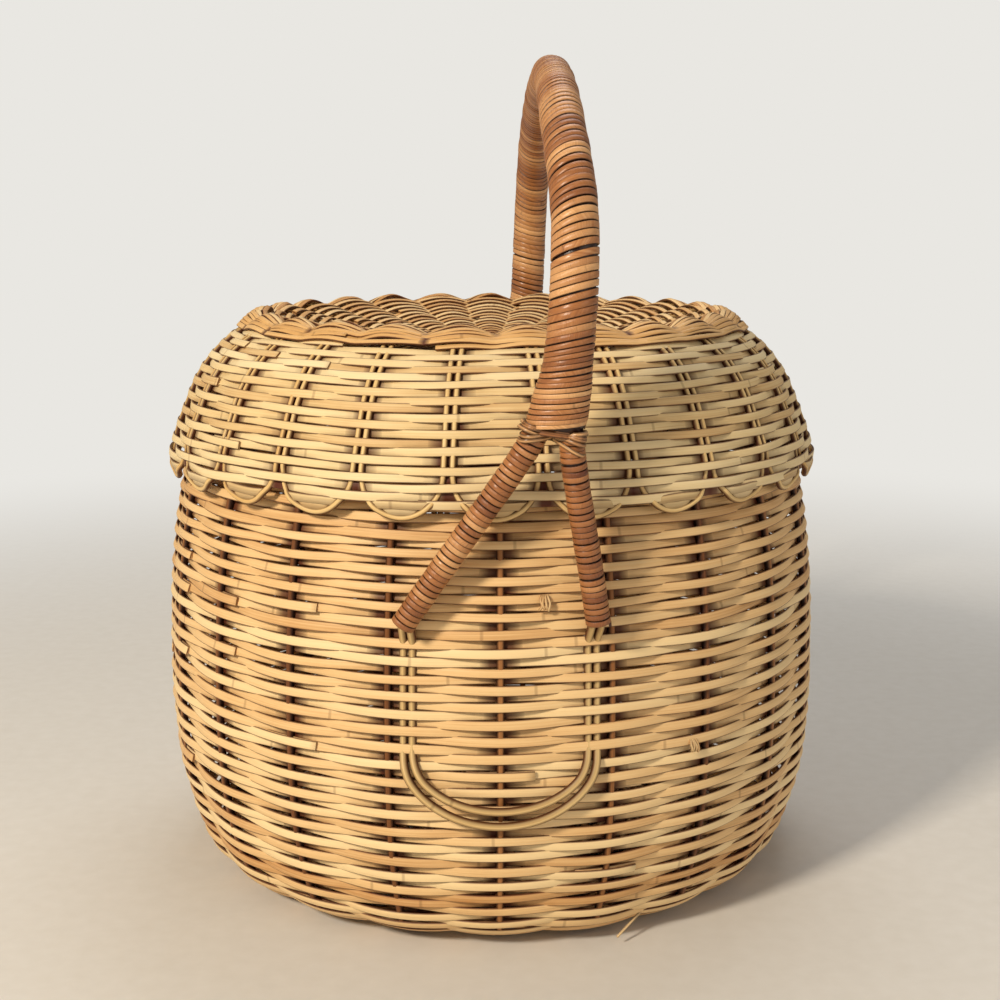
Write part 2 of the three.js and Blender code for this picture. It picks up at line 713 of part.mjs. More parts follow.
// The lid, which lifts straight up between the arms.
const lid = new THREE.Group();
addPiece(lid, 'lid_side_weave', lidSide(), lidStraw);
addPiece(lid, 'lid_top_weave', lidTop(), lidStraw);
addPiece(lid, 'lid_rim_roll', lidRimRoll(), lidStraw);
for (let index = 0; index < lidPairCount; index += 1) {
  addPiece(lid, `lid_cane_${String(index + 1).padStart(2, '0')}`, lidCane(index), lidStraw);
}

basket.add(body, lid);

export default basket;
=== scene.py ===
"""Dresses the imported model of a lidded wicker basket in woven, bent and bound cane.

Lengths are in metres where nothing else is said, and +Z is up. The basket stands on z = 0 round the Z axis,
and its front, which the camera faces, is towards -Y. Sizes that part.mjs also holds are repeated here under
the same words.
"""
import logging
import math
from dataclasses import dataclass, field
from enum import Enum
from functools import partial
from typing import Optional, Sequence, Union

import bpy
import numpy as np
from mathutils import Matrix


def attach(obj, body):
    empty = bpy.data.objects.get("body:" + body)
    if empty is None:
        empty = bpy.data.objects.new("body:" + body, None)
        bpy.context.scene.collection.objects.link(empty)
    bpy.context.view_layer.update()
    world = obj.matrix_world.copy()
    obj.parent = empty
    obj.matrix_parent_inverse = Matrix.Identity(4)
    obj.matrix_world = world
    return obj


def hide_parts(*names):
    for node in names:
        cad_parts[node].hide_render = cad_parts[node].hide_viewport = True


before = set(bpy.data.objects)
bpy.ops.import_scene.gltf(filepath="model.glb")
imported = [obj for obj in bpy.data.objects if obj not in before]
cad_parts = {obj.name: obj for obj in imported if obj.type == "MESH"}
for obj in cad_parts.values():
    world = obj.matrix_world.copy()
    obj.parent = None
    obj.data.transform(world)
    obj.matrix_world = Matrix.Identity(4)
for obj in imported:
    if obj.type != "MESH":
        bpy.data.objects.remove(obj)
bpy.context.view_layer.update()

LOG = logging.getLogger("basket")
MM = 0.001
TURN = 2.0 * math.pi
TINY = 1e-12
UP = np.array([0.0, 0.0, 1.0])
RIGHT = np.array([1.0, 0.0, 0.0])
LEVEL = np.array([1.0, 1.0, 0.0])  # times a vector, this keeps its level part
SPLINE_STEPS = 24  # points worked out on each stretch of a smooth line
DRIFT_WAVES = 5
DRIFT_LENGTHS = (0.6, 1.8)  # of its sine waves, as shares of the wavelength asked for
REED_POWERS = (0.28, 0.8)  # how square a split reed's section is, across and through
FINE_SIDES = 6  # of the section of the finest strands
CANE_IOR = 1.5
Array = np.ndarray
Material = bpy.types.Material
Key = Union[int, str]  # a socket's number or its name
Pair = tuple[float, float]
Numbers = tuple[float, ...]
Rows = tuple[Numbers, ...]


class Body(Enum):
    """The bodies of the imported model."""

    BASKET = "basket"
    LID = "lid"


class Slot(Enum):
    """The record's material slots."""

    BODY_WEAVE = "body_weave"
    ROUND_CANE = "round_cane"
    LID_WEAVE = "lid_weave"
    BOUND_CANE = "bound_cane"


# Numbers and curves


def unit(vectors: Array) -> Array:
    """Scales each vector to length one."""
    return vectors / np.maximum(np.linalg.norm(vectors, axis=-1, keepdims=True), TINY)


def smoothstep(values: Array) -> Array:
    """Eases from 0 to 1: three times the square less twice the cube of the clipped value."""
    share = np.clip(values, 0.0, 1.0)
    return share * share * (3.0 - 2.0 * share)


def lengths_along(line: Array) -> Array:
    """Gives the distance of each point of a line from its first point, along the line."""
    return np.concatenate([[0.0], np.cumsum(np.linalg.norm(np.diff(line, axis=0), axis=1))])


def read_rows(wanted: Array, known: Array, rows: Array) -> Array:
    """Interpolates each column of a table at the wanted places between the known ones."""
    return np.stack([np.interp(wanted, known, column) for column in rows.T], axis=1)


def even_shares(count: int) -> Array:
    """Spaces a number of shares evenly from 0 to 1."""
    return np.linspace(0.0, 1.0, count)


def even_points(line: Array, count: int) -> Array:
    """Spaces a number of points evenly along a line, given as one point per row."""
    along = lengths_along(line)
    return read_rows(np.linspace(0.0, along[-1], count), along, line)


def smooth_line(points: Sequence[Sequence[float]], count: int) -> Array:
    """Runs a smooth curve through points.

    Each stretch is a cubic. Its slope at an end comes from that point and its two neighbours, by divided
    differences over knots that stand the square root of the distance apart. Past its two ends the line is
    carried on straight.

    Args:
        points: two or more points, in two or three dimensions.
        count: how many points to give, evenly spaced along the curve.

    Returns:
        The points of the curve, one per row.
    """
    given = np.asarray(points, float)
    padded = np.vstack([2 * given[0] - given[1], given, 2 * given[-1] - given[-2]])
    knots = np.sqrt(np.linalg.norm(np.diff(padded, axis=0), axis=1))[:, None]
    before, start, end, after = padded[:-3], padded[1:-2], padded[2:-1], padded[3:]
    first, middle, last = knots[:-2], knots[1:-1], knots[2:]
    slope_in = (start - before) / first - (end - before) / (first + middle) + (end - start) / middle
    slope_out = (end - start) / middle - (after - start) / (middle + last) + (after - end) / last
    slope_in, slope_out = slope_in * middle, slope_out * middle
    share = np.linspace(0.0, 1.0, SPLINE_STEPS, endpoint=False)[None, :, None]
    start, end, slope_in, slope_out = (part[:, None, :] for part in (start, end, slope_in, slope_out))
    stretches = (
        start
        + slope_in * share
        + (3 * (end - start) - 2 * slope_in - slope_out) * share**2
        + (2 * (start - end) + slope_in + slope_out) * share**3
    )
    return even_points(np.vstack([stretches.reshape(-1, given.shape[1]), given[-1:]]), count)


def drift(values: Array, size: Array, wavelength: float, rng: np.random.Generator) -> Array:
    """Gives a smooth random wander, the sum of a few sine waves of unlike lengths.

    Args:
        values: where to read it.
        size: about how far it goes either way.
        wavelength: the length of its waves, in the units of the values.
        rng: the seeded source of its random draws.

    Returns:
        One number for each value.
    """
    lengths = wavelength * rng.uniform(*DRIFT_LENGTHS, DRIFT_WAVES)
    phases = rng.uniform(0.0, TURN, DRIFT_WAVES)
    waves = np.sin(TURN * np.asarray(values)[..., None] / lengths + phases)
    return size * (waves.sum(axis=-1) / math.sqrt(DRIFT_WAVES))


def around_axis(radius: Array, angle: Array, height: Array) -> Array:
    """Places points at a radius, an angle round Z from +X, and a height."""
    return np.stack(np.broadcast_arrays(radius * np.cos(angle), radius * np.sin(angle), height), axis=-1)


def round_section(radius: float, sides: int) -> Array:
    """Gives a circle's corners, anticlockwise, as (aside, outward) pairs."""
    angle = TURN * (np.arange(sides) + 0.5) / sides
    return radius * np.stack([np.cos(angle), np.sin(angle)], axis=1)


def reed_section(width: float, thickness: float, sides: int) -> Array:
    """Gives the corners of a split reed: nearly flat faces with rounded edges.

    They are a circle's, with each sine and cosine brought to a power below 1 and its sign kept, and then
    stretched to the width and the thickness.
    """
    circle = round_section(1.0, sides)
    return 0.5 * np.array([width, thickness]) * (np.sign(circle) * np.abs(circle) ** REED_POWERS)


@dataclass
class Outline:
    """A line of (radius, height) pairs, read by the distance along it. It runs outwards and then up."""

    points: Sequence[Sequence[float]]  # in millimetres
    fineness: int = 600  # points of the smooth line

    def __post_init__(self) -> None:
        """Works out the smooth line, its normals to the right, and the distances along it."""
        self.line = smooth_line(np.asarray(self.points) * MM, self.fineness)
        self.along = lengths_along(self.line)
        step = unit(np.gradient(self.line, axis=0))
        self.normal = np.stack([step[:, 1], -step[:, 0]], axis=1)

    def radius_at_height(self, height: Array) -> Array:
        """Gives the line's radius at a height."""
        return np.interp(height, self.line[:, 1], self.line[:, 0])

    def arc_at_height(self, height: Array) -> Array:
        """Gives the distance along the line at which it reaches a height."""
        return np.interp(height, self.line[:, 1], self.along)

    def place(self, arc: Array, angle: Array, lift: Array) -> tuple[Array, Array]:
        """Places points on the surface that the line sweeps round Z.

        Args:
            arc: distance along the line.
            angle: round the axis, in radians from +X.
            lift: distance outwards from the surface, along its normal.

        Returns:
            The points and the outward directions there.
        """
        radius, height = read_rows(arc, self.along, self.line).T
        out, up = read_rows(arc, self.along, self.normal).T
        return around_axis(radius + lift * out, angle, height + lift * up), unit(around_axis(out, angle, up))


# Meshes of swept cane


@dataclass
class CaneMesh:
    """Gathers strands of cane and turns them into one mesh with a strand map, tones and painted shade."""

    EDGE_SPREAD = 1.8  # how broadly the painted shade reaches from a strand's edges over its faces

    edge_shade: float = 1.0  # how dark the painted shade along a strand's two edges is, from 0 to 1
    rings: list[Array] = field(default_factory=list)
    quads: list[Array] = field(default_factory=list)
    quad_maps: list[Array] = field(default_factory=list)
    caps: list[Array] = field(default_factory=list)
    cap_maps: list[Array] = field(default_factory=list)
    tones: list[Array] = field(default_factory=list)
    painted_shades: list[Array] = field(default_factory=list)
    size: int = 0

    def sweep(
        self, path: Array, outward: Array, section: Array, tone: Array, painted_shade: Optional[Array] = None
    ) -> None:
        """Carries a section along a path and closes its two ends.

        A corner (aside, outward) of the section stands at the path's point, plus aside times the direction
        square to the path and to outward, plus outward times the direction square to those two.

        Args:
            path: the points of the strand's centre line.
            outward: the direction that the section's second axis follows, one for all points or one each.
            section: its corners, anticlockwise, one set for all points or one each.
            tone: 0 for the palest strand to 1 for the darkest, one for all points or one each.
            painted_shade: how much painted shade lies on the strand at each point, besides what lies along
                its edges.
        """
        count, sides = len(path), section.shape[-2]
        along = unit(np.gradient(path, axis=0))
        aside = unit(np.cross(outward, along))
        up = np.cross(along, aside)
        section = np.broadcast_to(section, (count, sides, 2))
        corners = path[:, None] + aside[:, None] * section[..., :1] + up[:, None] * section[..., 1:]
        ring = sides * np.arange(count - 1)[:, None]
        side = np.arange(sides)[None, :]
        after = (side + 1) % sides
        quads = np.stack([ring + side, ring + after, ring + sides + after, ring + sides + side], axis=-1)
        self.quads.append(quads.reshape(-1, 4) + self.size)
        far = lengths_along(path)
        round_it = lengths_along(np.vstack([section[0], section[0][:1]]))
        near_far = np.stack([far[:-1], far[:-1], far[1:], far[1:]], axis=-1)[:, None, :]
        low_high = np.stack([round_it[:-1], round_it[1:], round_it[1:], round_it[:-1]], axis=-1)[None]
        self.quad_maps.append(np.stack(np.broadcast_arrays(near_far, low_high), axis=-1).reshape(-1, 2))
        last = sides * (count - 1)
        self.caps.append(np.stack([np.arange(sides)[::-1], last + np.arange(sides)]) + self.size)
        self.cap_maps.append(np.concatenate([section[0][::-1], section[-1] + [far[-1], 0.0]]))
        self.rings.append(corners.reshape(-1, 3))
        self.tones.append(np.repeat(np.broadcast_to(tone, count), sides))
        # Painted shade along the strand's two edges, in the slits between neighbouring strands, plus any
        # painted shade given.
        face = np.abs(section[..., 1]) / np.abs(section[..., 1]).max(axis=1, keepdims=True)
        shade_mix = self.edge_shade * np.clip(self.EDGE_SPREAD * (1.0 - face), 0.0, 1.0)
        if painted_shade is not None:
            shade_mix = shade_mix + painted_shade[:, None]
        self.painted_shades.append(np.clip(shade_mix, 0.0, 1.0).ravel())
        self.size += count * sides

    def finish(self, name: str) -> bpy.types.Mesh:
        """Puts the gathered strands into a mesh, lifted off the floor where one would sink into it.

        Args:
            name: the mesh's name.

        Returns:
            The mesh, with a map named strand, in metres along and round each strand, and the attributes tone
            and painted_shade.
        """
        mesh = bpy.data.meshes.new(name)
        places = np.concatenate(self.rings)
        places[:, 2] = np.maximum(places[:, 2], 0.0)
        quads = np.concatenate(self.quads)
        cap_sizes = np.concatenate([np.full(len(cap), cap.shape[1]) for cap in self.caps])
        loops = np.concatenate([quads.ravel()] + [cap.ravel() for cap in self.caps])
        sizes = np.concatenate([np.full(len(quads), 4), cap_sizes])
        starts = np.concatenate([[0], np.cumsum(sizes)[:-1]])
        mesh.vertices.add(len(places))
        mesh.vertices.foreach_set("co", places.astype(np.float32).ravel())
        mesh.loops.add(len(loops))
        mesh.loops.foreach_set("vertex_index", loops.astype(np.int32))
        mesh.polygons.add(len(sizes))
        mesh.polygons.foreach_set("loop_start", starts.astype(np.int32))
        mesh.update(calc_edges=True)
        mesh.polygons.foreach_set("use_smooth", np.arange(len(sizes)) < len(quads))
        maps = np.concatenate(self.quad_maps + self.cap_maps)
        mesh.uv_layers.new(name="strand").data.foreach_set("uv", maps.astype(np.float32).ravel())
        for word, values in (("tone", self.tones), ("painted_shade", self.painted_shades)):
            layer = mesh.attributes.new(word, "FLOAT", "POINT")
            layer.data.foreach_set("value", np.concatenate(values).astype(np.float32))
        mesh.validate()
        return mesh


def show_piece(name: str, strands: CaneMesh, material: Material, body: Body, slot: Slot, *nodes: str) -> None:
    """Puts gathered strands in the scene as a piece of the basket.

    Args:
        name: the piece's name.
        strands: what it is made of.
        material: its finish.
        body: the body that it moves with.
        slot: the record's slot for its finish; not used.
        nodes: the CAD nodes that it stands for.
    """
    mesh = strands.finish(name)
    mesh.materials.append(material)
    piece = bpy.data.objects.new(name, mesh)
    bpy.context.scene.collection.objects.link(piece)
    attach(piece, body.value)
    if nodes:
        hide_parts(*nodes)
    stands_for = ", ".join(nodes) or "no node"
    LOG.info("%s: %d faces on %s, for %s", name, len(mesh.polygons), body.value, stands_for)


# Finishes


def linear(hex_colour: str) -> Numbers:
    """Turns an sRGB colour into linear light.

    Args:
        hex_colour: six hex digits after a hash, such as #C07A3A.

    Returns:
        The red, green, blue and alpha that Blender mixes.
    """
    values = [int(hex_colour[place:place + 2], 16) / 255.0 for place in (1, 3, 5)]
    channels = [c / 12.92 if c <= 0.04045 else ((c + 0.055) / 1.055) ** 2.4 for c in values]
    return (channels[0], channels[1], channels[2], 1.0)


def add_node(
    tree: bpy.types.NodeTree, kind: str, inputs: dict[Key, object], output: Key = 0, **settings: object
) -> bpy.types.NodeSocket:
    """Adds a node to a tree.

    Args:
        tree: the material's or the world's node tree.
        kind: the node's type after the word ShaderNode, such as Math.
        inputs: its inputs by name or number: a socket to link from, or a value to set.
        output: the name or number of the output to give.
        settings: its properties by name.

    Returns:
        The output's socket.
    """
    node = tree.nodes.new("ShaderNode" + kind)
    for key, value in settings.items():
        setattr(node, key, value)
    for key, value in inputs.items():
        if isinstance(value, bpy.types.NodeSocket):
            tree.links.new(value, node.inputs[key])
        else:
            node.inputs[key].default_value = value
    return node.outputs[output]


@dataclass(frozen=True)
class CaneFinish:
    """Rattan: split reed or whole cane, whose long fibres run along each strand."""

    name: str
    pale: str  # colour of the palest strands
    middle: str  # of most strands
    dark: str  # of the darkest strands
    stain: str  # of the growth rings and of the painted shade
    roughness: float = 0.5
    gloss: float = 0.28  # strength of the reflections, where 0.5 is a varnished skin
    fibre_width: float = 0.75 * MM  # of one streak
    fibre_length: float = 60 * MM
    fibre_depth: float = 0.16 * MM  # height of the streaks as bump
    fibre_bump: float = 0.6
    fibre_roughness: Pair = (-0.1, 0.14)  # added to the roughness between and on the fibres
    streak: float = 0.55  # how far the fibres change the colour, from 0 to 1
    patch: float = 0.3  # how far weathered patches change it
    patch_size: float = 28 * MM
    shade_mix: float = 0.98  # how far the painted shade hides the colour where it is deepest, from 0 to 1
    shade_power: float = 0.62  # below 1, this spreads faint painted shade
    node_spacing: float = 260 * MM  # length of cane between two growth rings
    ring_shares: Pair = (0.001, 0.005)  # of that length, for a ring's dark part and its faded edge
    ring_stain: float = 0.3

    def build(self) -> Material:
        """Makes the material.

        Streaks are noise stretched far along the strand. They, the strand's own tone and soft patches pick
        the colour from a ramp. The rings at the nodes of the cane stain it darker, and painted shade darkens
        it towards the stain colour.

        Returns:
            The material, which reads a mesh's strand map and its tone and painted shade.
        """
        material = bpy.data.materials.new(self.name)
        material.use_nodes = True
        material.diffuse_color = linear(self.middle)
        tree = material.node_tree
        add = partial(add_node, tree)
        tone = add("Attribute", {}, "Fac", attribute_name="tone")
        strand = add("UVMap", {}, uv_map="strand")
        shifted = add("VectorMath", {0: strand, 1: tone}, operation="ADD")
        scale = (1.0 / self.fibre_length, 1.0 / self.fibre_width, 1.0)
        stretched = add("VectorMath", {0: shifted, 1: scale}, operation="MULTIPLY")
        noise = {"Vector": stretched, "Scale": 1.0, "Detail": 3.0, "Roughness": 0.6}
        fibres = add("TexNoise", noise, noise_dimensions="2D")
        place = add("TexCoord", {}, "Object")
        noise = {"Vector": place, "Scale": 1.0 / self.patch_size, "Detail": 3.0, "Roughness": 0.55}
        patches = add("TexNoise", noise)
        streaked = add("Math", {0: fibres, 1: self.streak, 2: tone}, operation="MULTIPLY_ADD")
        weathered = add("Math", {0: patches, 1: self.patch, 2: streaked}, operation="MULTIPLY_ADD")
        mean = 0.5 * (self.streak + self.patch)
        centred = add("Math", {0: weathered, 1: mean}, operation="SUBTRACT", use_clamp=True)
        colour = add("ValToRGB", {"Fac": centred})
        steps = colour.node.color_ramp.elements
        steps[0].color, steps[1].color = linear(self.pale), linear(self.dark)
        steps.new(0.5).color = linear(self.middle)
        along = add("SeparateXYZ", {0: shifted})
        turns = add("Math", {0: along, 1: self.node_spacing}, operation="DIVIDE")
        part = add("Math", {0: turns}, operation="FRACT")
        aside = add("Math", {0: part, 1: 0.5}, operation="SUBTRACT")
        away = add("Math", {0: aside}, operation="ABSOLUTE")
        near, far = self.ring_shares
        fading = {"Value": away, "From Min": near, "From Max": far, "To Min": self.ring_stain, "To Max": 0.0}
        ring = add("MapRange", fading, interpolation_type="SMOOTHSTEP")
        ringed = add("Mix", {0: ring, 6: colour, 7: linear(self.stain)}, 2, data_type="RGBA")
        # Painted shade: the strand's shade attribute mixes the colour towards the stain colour.
        painted_shade = add("Attribute", {}, "Fac", attribute_name="painted_shade")
        spread = add("Math", {0: painted_shade, 1: self.shade_power}, operation="POWER")
        shade_mix = add("Math", {0: spread, 1: self.shade_mix}, operation="MULTIPLY")
        shaded = add("Mix", {0: shade_mix, 6: ringed, 7: linear(self.stain)}, 2, data_type="RGBA")
        least, most = (self.roughness + more for more in self.fibre_roughness)
        rough = add("MapRange", {"Value": fibres, "To Min": least, "To Max": most})
        bump = add("Bump", {"Height": fibres, "Strength": self.fibre_bump, "Distance": self.fibre_depth})
        sockets = tree.nodes["Principled BSDF"].inputs
        for word, source in (("Base Color", shaded), ("Roughness", rough), ("Normal", bump)):
            tree.links.new(source, sockets[word])
        sockets["IOR"].default_value = CANE_IOR
        sockets["Specular IOR Level"].default_value = self.gloss
        return material


# Peeled reed, split and sun-dried: pale straw with a dull sheen.
LID_REED = CaneFinish("Rattan split reed, pale straw", "#F3DEB0", "#E8CB94", "#C08E55", "#521A08")
# Finer reed of the lid's top, browner than the side's reed, and darkened further as painted shade.
TOP_REED = CaneFinish("Rattan fine reed, browned", "#F2D199", "#DDAE6F", "#A87239", "#4A1707")
# The same reed as the lid's side, aged to honey on the body.
BODY_REED = CaneFinish("Rattan split reed, aged honey", "#F6D9A4", "#E9C188", "#BF864A", "#521A08")
# Whole round cane keeps its brown skin, and is smoother than reed.
STAKE_CANE = CaneFinish("Rattan round cane, brown skin", "#B07A48", "#85532A", "#582F17", "#260F08", 0.42)
# Peeled round cane of the lid's ribs and scallops and of the handle's loops.
LID_CANE = CaneFinish("Rattan round cane, peeled", "#ECCF94", "#D8AC69", "#A87238", "#4E230E", 0.45)
# Binding peel: the glossy outer bark of the cane, stained red-brown.
BINDING = CaneFinish(
    "Rattan binding peel, red-brown stain", "#EDB97F", "#AF7343", "#6A351B", "#260C06", 0.32, 0.5
)


# The basket's body


@dataclass(frozen=True)
class Weave:
    """One long spiral of reed, worked over and under upright ribs round a surface of revolution."""

    # Lengths along a reed are counted in ribs. A pair is a wander's size and its wavelength.
    OVERHANG = 0.3  # how far a reed runs past its first and its last rib
    TUCK_DEPTH = 1.1  # how far its start lies under the end of the one before, in thicknesses
    TUCK_START, TUCK_RISE = 0.35, 0.6  # where it starts to come out from under, and over what length
    SLIP = (0.03, 2.0)  # of the wave along the reed
    SHARED_SAG = (1.4, 0.9)  # of all rows alike up and down, with the wavelength in radians
    OWN_SAG = (1.0, 2.3)  # of one reed up and down
    OFFSET = 0.5  # of a whole reed up or down
    SWELL = (0.06, 3.0)  # of the swing
    LEAN = (0.12, 4.0)  # of the reed's face
    WIDTHS = (0.92, 1.06)  # of reeds, as shares of the width
    MIDDLE_TONE = 0.46

    outline: Outline  # the surface that the outermost reed touches
    rib_count: int  # an odd number, so that each row swaps over and under
    first_rib: float  # angle of one rib, in radians
    rib_inset: float  # depth of the ribs' centres below the outline
    swing: Pair  # how far a reed's centre goes from a rib's, at the first and last row
    pitch: float  # height of a row
    width: float
    thickness: float
    steps: int  # stations between two ribs
    sides: int  # of the reed's section
    looseness: float  # how far a row wanders from its even place
    reach: tuple[int, int] = (14, 46)  # shortest and longest length of one reed, in ribs
    power: float = 0.6  # of the wave, which swells from a zigzag at 1 towards a square wave at 0
    level: float = 0.5  # how far the swing is turned from the surface's normal to the horizontal
    fluted: bool = False  # whether all rows rise over every rib together, and dip between the ribs
    tilt: float = 0.0  # how far the reeds' faces are tipped upwards, as a tangent
    clean: float = 0.88  # the wave's depth below which painted shade lies on the reeds behind the ribs
    variety: float = 0.2  # how far the reeds' tones differ

    def wave(self, count: Array) -> Array:
        """Gives the height of a row's wave, from -1 to 1, at a count of ribs.

        It is cos(pi c) brought to the weave's power, with its sign kept. In a fluted weave it is twice the
        size of cos(pi c) brought to that power, less 1, which makes round crests and sharp valleys.

        Args:
            count: how many ribs on from the first, c.

        Returns:
            The height at each count.
        """
        turn = np.cos(math.pi * count)
        size = np.abs(turn) ** self.power
        return 2.0 * size - 1.0 if self.fluted else np.sign(turn) * size

    def work(self, mesh: CaneMesh, start: float, end: float, rng: np.random.Generator) -> None:
        """Adds the spiral's reeds to a mesh.

        At a count c of ribs from the start, the reed stands at angle first + c times the rib step and at a
        distance along the outline of start + c times the pitch over the rib count. It lies out from the
        ribs' circle by swing times the wave. Each new reed starts inside the end of the one before it.

        Args:
            mesh: what the reeds are added to.
            start: distance along the outline where the first row lies.
            end: where the last row lies.
            rng: the seeded source of lengths, tones and wander.
        """
        ribs = int(self.rib_count * (end - start) / self.pitch)
        sag_seed = rng.integers(1 << 30)
        begin = 0
        while begin < ribs - 2:
            finish = min(begin + 2 * int(rng.integers(*self.reach) // 2), ribs)
            if ribs - finish < self.reach[0]:
                finish = ribs
            span = finish - begin + 2 * self.OVERHANG
            count = begin - self.OVERHANG + span * even_shares(int(span * self.steps))
            angle = self.first_rib + count * TURN / self.rib_count
            wave = self.wave(count + drift(count, *self.SLIP, rng))
            risen = smoothstep((count - begin - self.TUCK_START) / self.TUCK_RISE)
            tuck = self.thickness * self.TUCK_DEPTH * (1.0 - risen)
            shared = drift(angle % TURN, *self.SHARED_SAG, np.random.default_rng(sag_seed))
            own = drift(count, *self.OWN_SAG, rng)
            arc = start + self.pitch * count / self.rib_count
            arc = arc + self.looseness * (own + shared + rng.normal(0.0, self.OFFSET))
            swing = np.interp(arc, (start, end), self.swing)
            path, outward = self.outline.place(np.clip(arc, 0.0, None), angle, -self.rib_inset)
            lift = swing * wave * (1.0 + drift(count, *self.SWELL, rng)) - tuck
            path = path + lift[:, None] * unit(outward * [1.0, 1.0, 1.0 - self.level])
            lean = self.tilt + drift(count, *self.LEAN, rng)
            section = reed_section(self.width * rng.uniform(*self.WIDTHS), self.thickness, self.sides)
            tone = np.clip(rng.normal(self.MIDDLE_TONE, self.variety), 0.0, 1.0)
            # Painted shade on the reed where it dives behind a rib, deeper as the wave sinks past the
            # threshold.
            painted_shade = smoothstep((-wave - self.clean) / (1.0 - self.clean))
            mesh.sweep(path, unit(outward + lean[:, None] * UP), section, tone, painted_shade)
            begin = finish


@dataclass
class BasketBody:
    """The pot-bellied body: stakes, woven wall, woven base and the border that the lid hides."""

    reed: Material  # of the wall, the base, the border and the broken ends
    cane: Material  # of the stakes
    stake_count: int = 21
    first_stake: float = math.radians(-88.4)
    stake_radius: float = 2.2 * MM
    stake_inset: float = 3.1 * MM  # of the stakes' centres below the wall's outline
    stake_sides: int = 8
    stake_points: int = 150  # along one arm of a stake
    stake_tones: Pair = (0.2, 0.8)
    stake_tip: float = 0.05  # by which their outward direction points down, so that it is never nil
    course_points: int = 40  # on a stake's way down the wall
    course_end: float = 1 * MM  # from the wall's bottom to the last of them
    seat_gap: float = 0.4 * MM  # between two pieces that touch
    swing: Pair = (2.05 * MM, 2.0 * MM)
    row_pitch: float = 4.65 * MM
    reed_width: float = 5.25 * MM
    reed_thickness: float = 1.4 * MM
    wall_points: Rows = (
        (149, 0), (165.3, 3.8), (179.6, 13.9), (188.3, 32.8), (196.4, 63), (199.5, 93.2), (200, 126),
        (198.1, 173.8), (194.05, 210.4), (188.45, 241.3), (182.5, 266.6),
    )
    wall_margins: Pair = (1.5 * MM, 2 * MM)  # from the outline's ends to the first and the last row
    wall_split: float = 120 * MM  # about where the two courses meet, along the outline
    course_overlap: float = 1.01  # how far the lower course runs on over the upper, in ribs
    base_points: Rows = ((40, 11.0), (76, 8.7), (112, 5.5), (130, 2.6), (149, 0))
    base_margins: Pair = (2 * MM, 3 * MM)
    base_thickness: float = 6 * MM
    base_dome: float = 6 * MM
    base_dome_radius: float = 112 * MM
    fan_radii: Numbers = (128 * MM, 112 * MM, 76 * MM, 44 * MM)  # where the stakes spread in the base
    fan_edge_height: float = 6.4 * MM  # of their centres at the first of those
    cross_layers: int = 2
    cross_group: int = 5  # stakes side by side where they cross
    cross_start: int = 3  # the stake where the first group starts
    cross_pitch: float = 5.2 * MM
    cross_rise: float = 4.8 * MM  # from the lower crossing canes up to the upper
    border_radius: float = 176.2 * MM
    border_weave: float = 3.6 * MM  # how far its canes go in and out
    border_foot: float = 267.2 * MM
    border_rise: float = 5.6 * MM
    border_reach: float = 3.1  # length of one bent-over end, in stakes
    border_points: int = 34
    border_waves: Pair = (1.25, 0.1)  # sine waves in and out along an end, and how late they start
    border_hump: Pair = (1.15, 0.6)  # half waves up and down along it, and the power they are brought to
    pale_tones: Pair = (0.1, 0.6)
    breaks: Rows = ((-81.8, 200 * MM), (-57.3, 115.6 * MM))  # degrees round and height of broken reeds
    fray_places: Numbers = (-1.5, -0.5, 0.5, 1.5)  # of the splinters of one, as counts from its middle
    fray_pitch: float = 1.1 * MM
    fray_spread: float = 0.5 * MM  # by which they part
    fray_size: Pair = (1.3 * MM, 1.0 * MM)
    fray_points: int = 7
    fray_drift: Pair = (0.4 * MM, 1.0)
    fray_swell: Numbers = (-1.6, 3.4, 2.2)  # start out from the wall and swell in mm, sine wave in radians
    fray_droop: Numbers = (2.6, 7.0, 1.2)  # start above the middle, fall and how that differs, in mm
    splinter: Rows = ((86.0, -151.0, 14.5), (69.0, -169.0, 5.2))  # its ends, in millimetres
    splinter_size: Pair = (1.5 * MM, 0.9 * MM)
    splinter_facing: Numbers = (0.3, -0.6, 0.7)
    splinter_points: int = 6
    splinter_tone: float = 0.1
    rng: np.random.Generator = field(default_factory=partial(np.random.default_rng, 11))

    def __post_init__(self) -> None:
        """Works out the wall's and the base's outlines, and the step from stake to stake."""
        self.wall = Outline(self.wall_points)
        self.base = Outline(self.base_points)
        self.step = TURN / self.stake_count
        self.weave = partial(
            Weave, rib_count=self.stake_count, first_rib=self.first_stake, rib_inset=self.stake_inset,
            swing=self.swing, pitch=self.row_pitch, width=self.reed_width, thickness=self.reed_thickness,
        )

    def weave_wall(self) -> None:
        """Weaves the wall in two courses, below and above the belly's widest place."""
        weave = self.weave(
            self.wall, steps=11, sides=8, looseness=0.38 * MM, reach=(18, 44), power=0.95, tilt=0.18
        )
        low, high = self.wall_margins[0], self.wall.along[-1] - self.wall_margins[1]
        middle = low + round(self.wall_split / self.row_pitch) * self.row_pitch
        overlap = self.course_overlap * self.row_pitch / self.stake_count
        for word, start, end in (("lower", low, middle + overlap), ("upper", middle, high)):
            mesh = CaneMesh()
            weave.work(mesh, start, end, self.rng)
            show_piece(f"wall_reeds_{word}", mesh, self.reed, Body.BASKET, Slot.BODY_WEAVE, "body_wall_weave")

    def weave_base(self) -> None:
        """Weaves the base from its fan out to where the wall turns up."""
        mesh = CaneMesh()
        weave = self.weave(self.base, steps=8, sides=6, looseness=0.25 * MM, level=0.0)
        weave.work(mesh, self.base_margins[0], self.base.along[-1] - self.base_margins[1], self.rng)
        show_piece("base_reeds", mesh, self.reed, Body.BASKET, Slot.BODY_WEAVE, "base_weave")

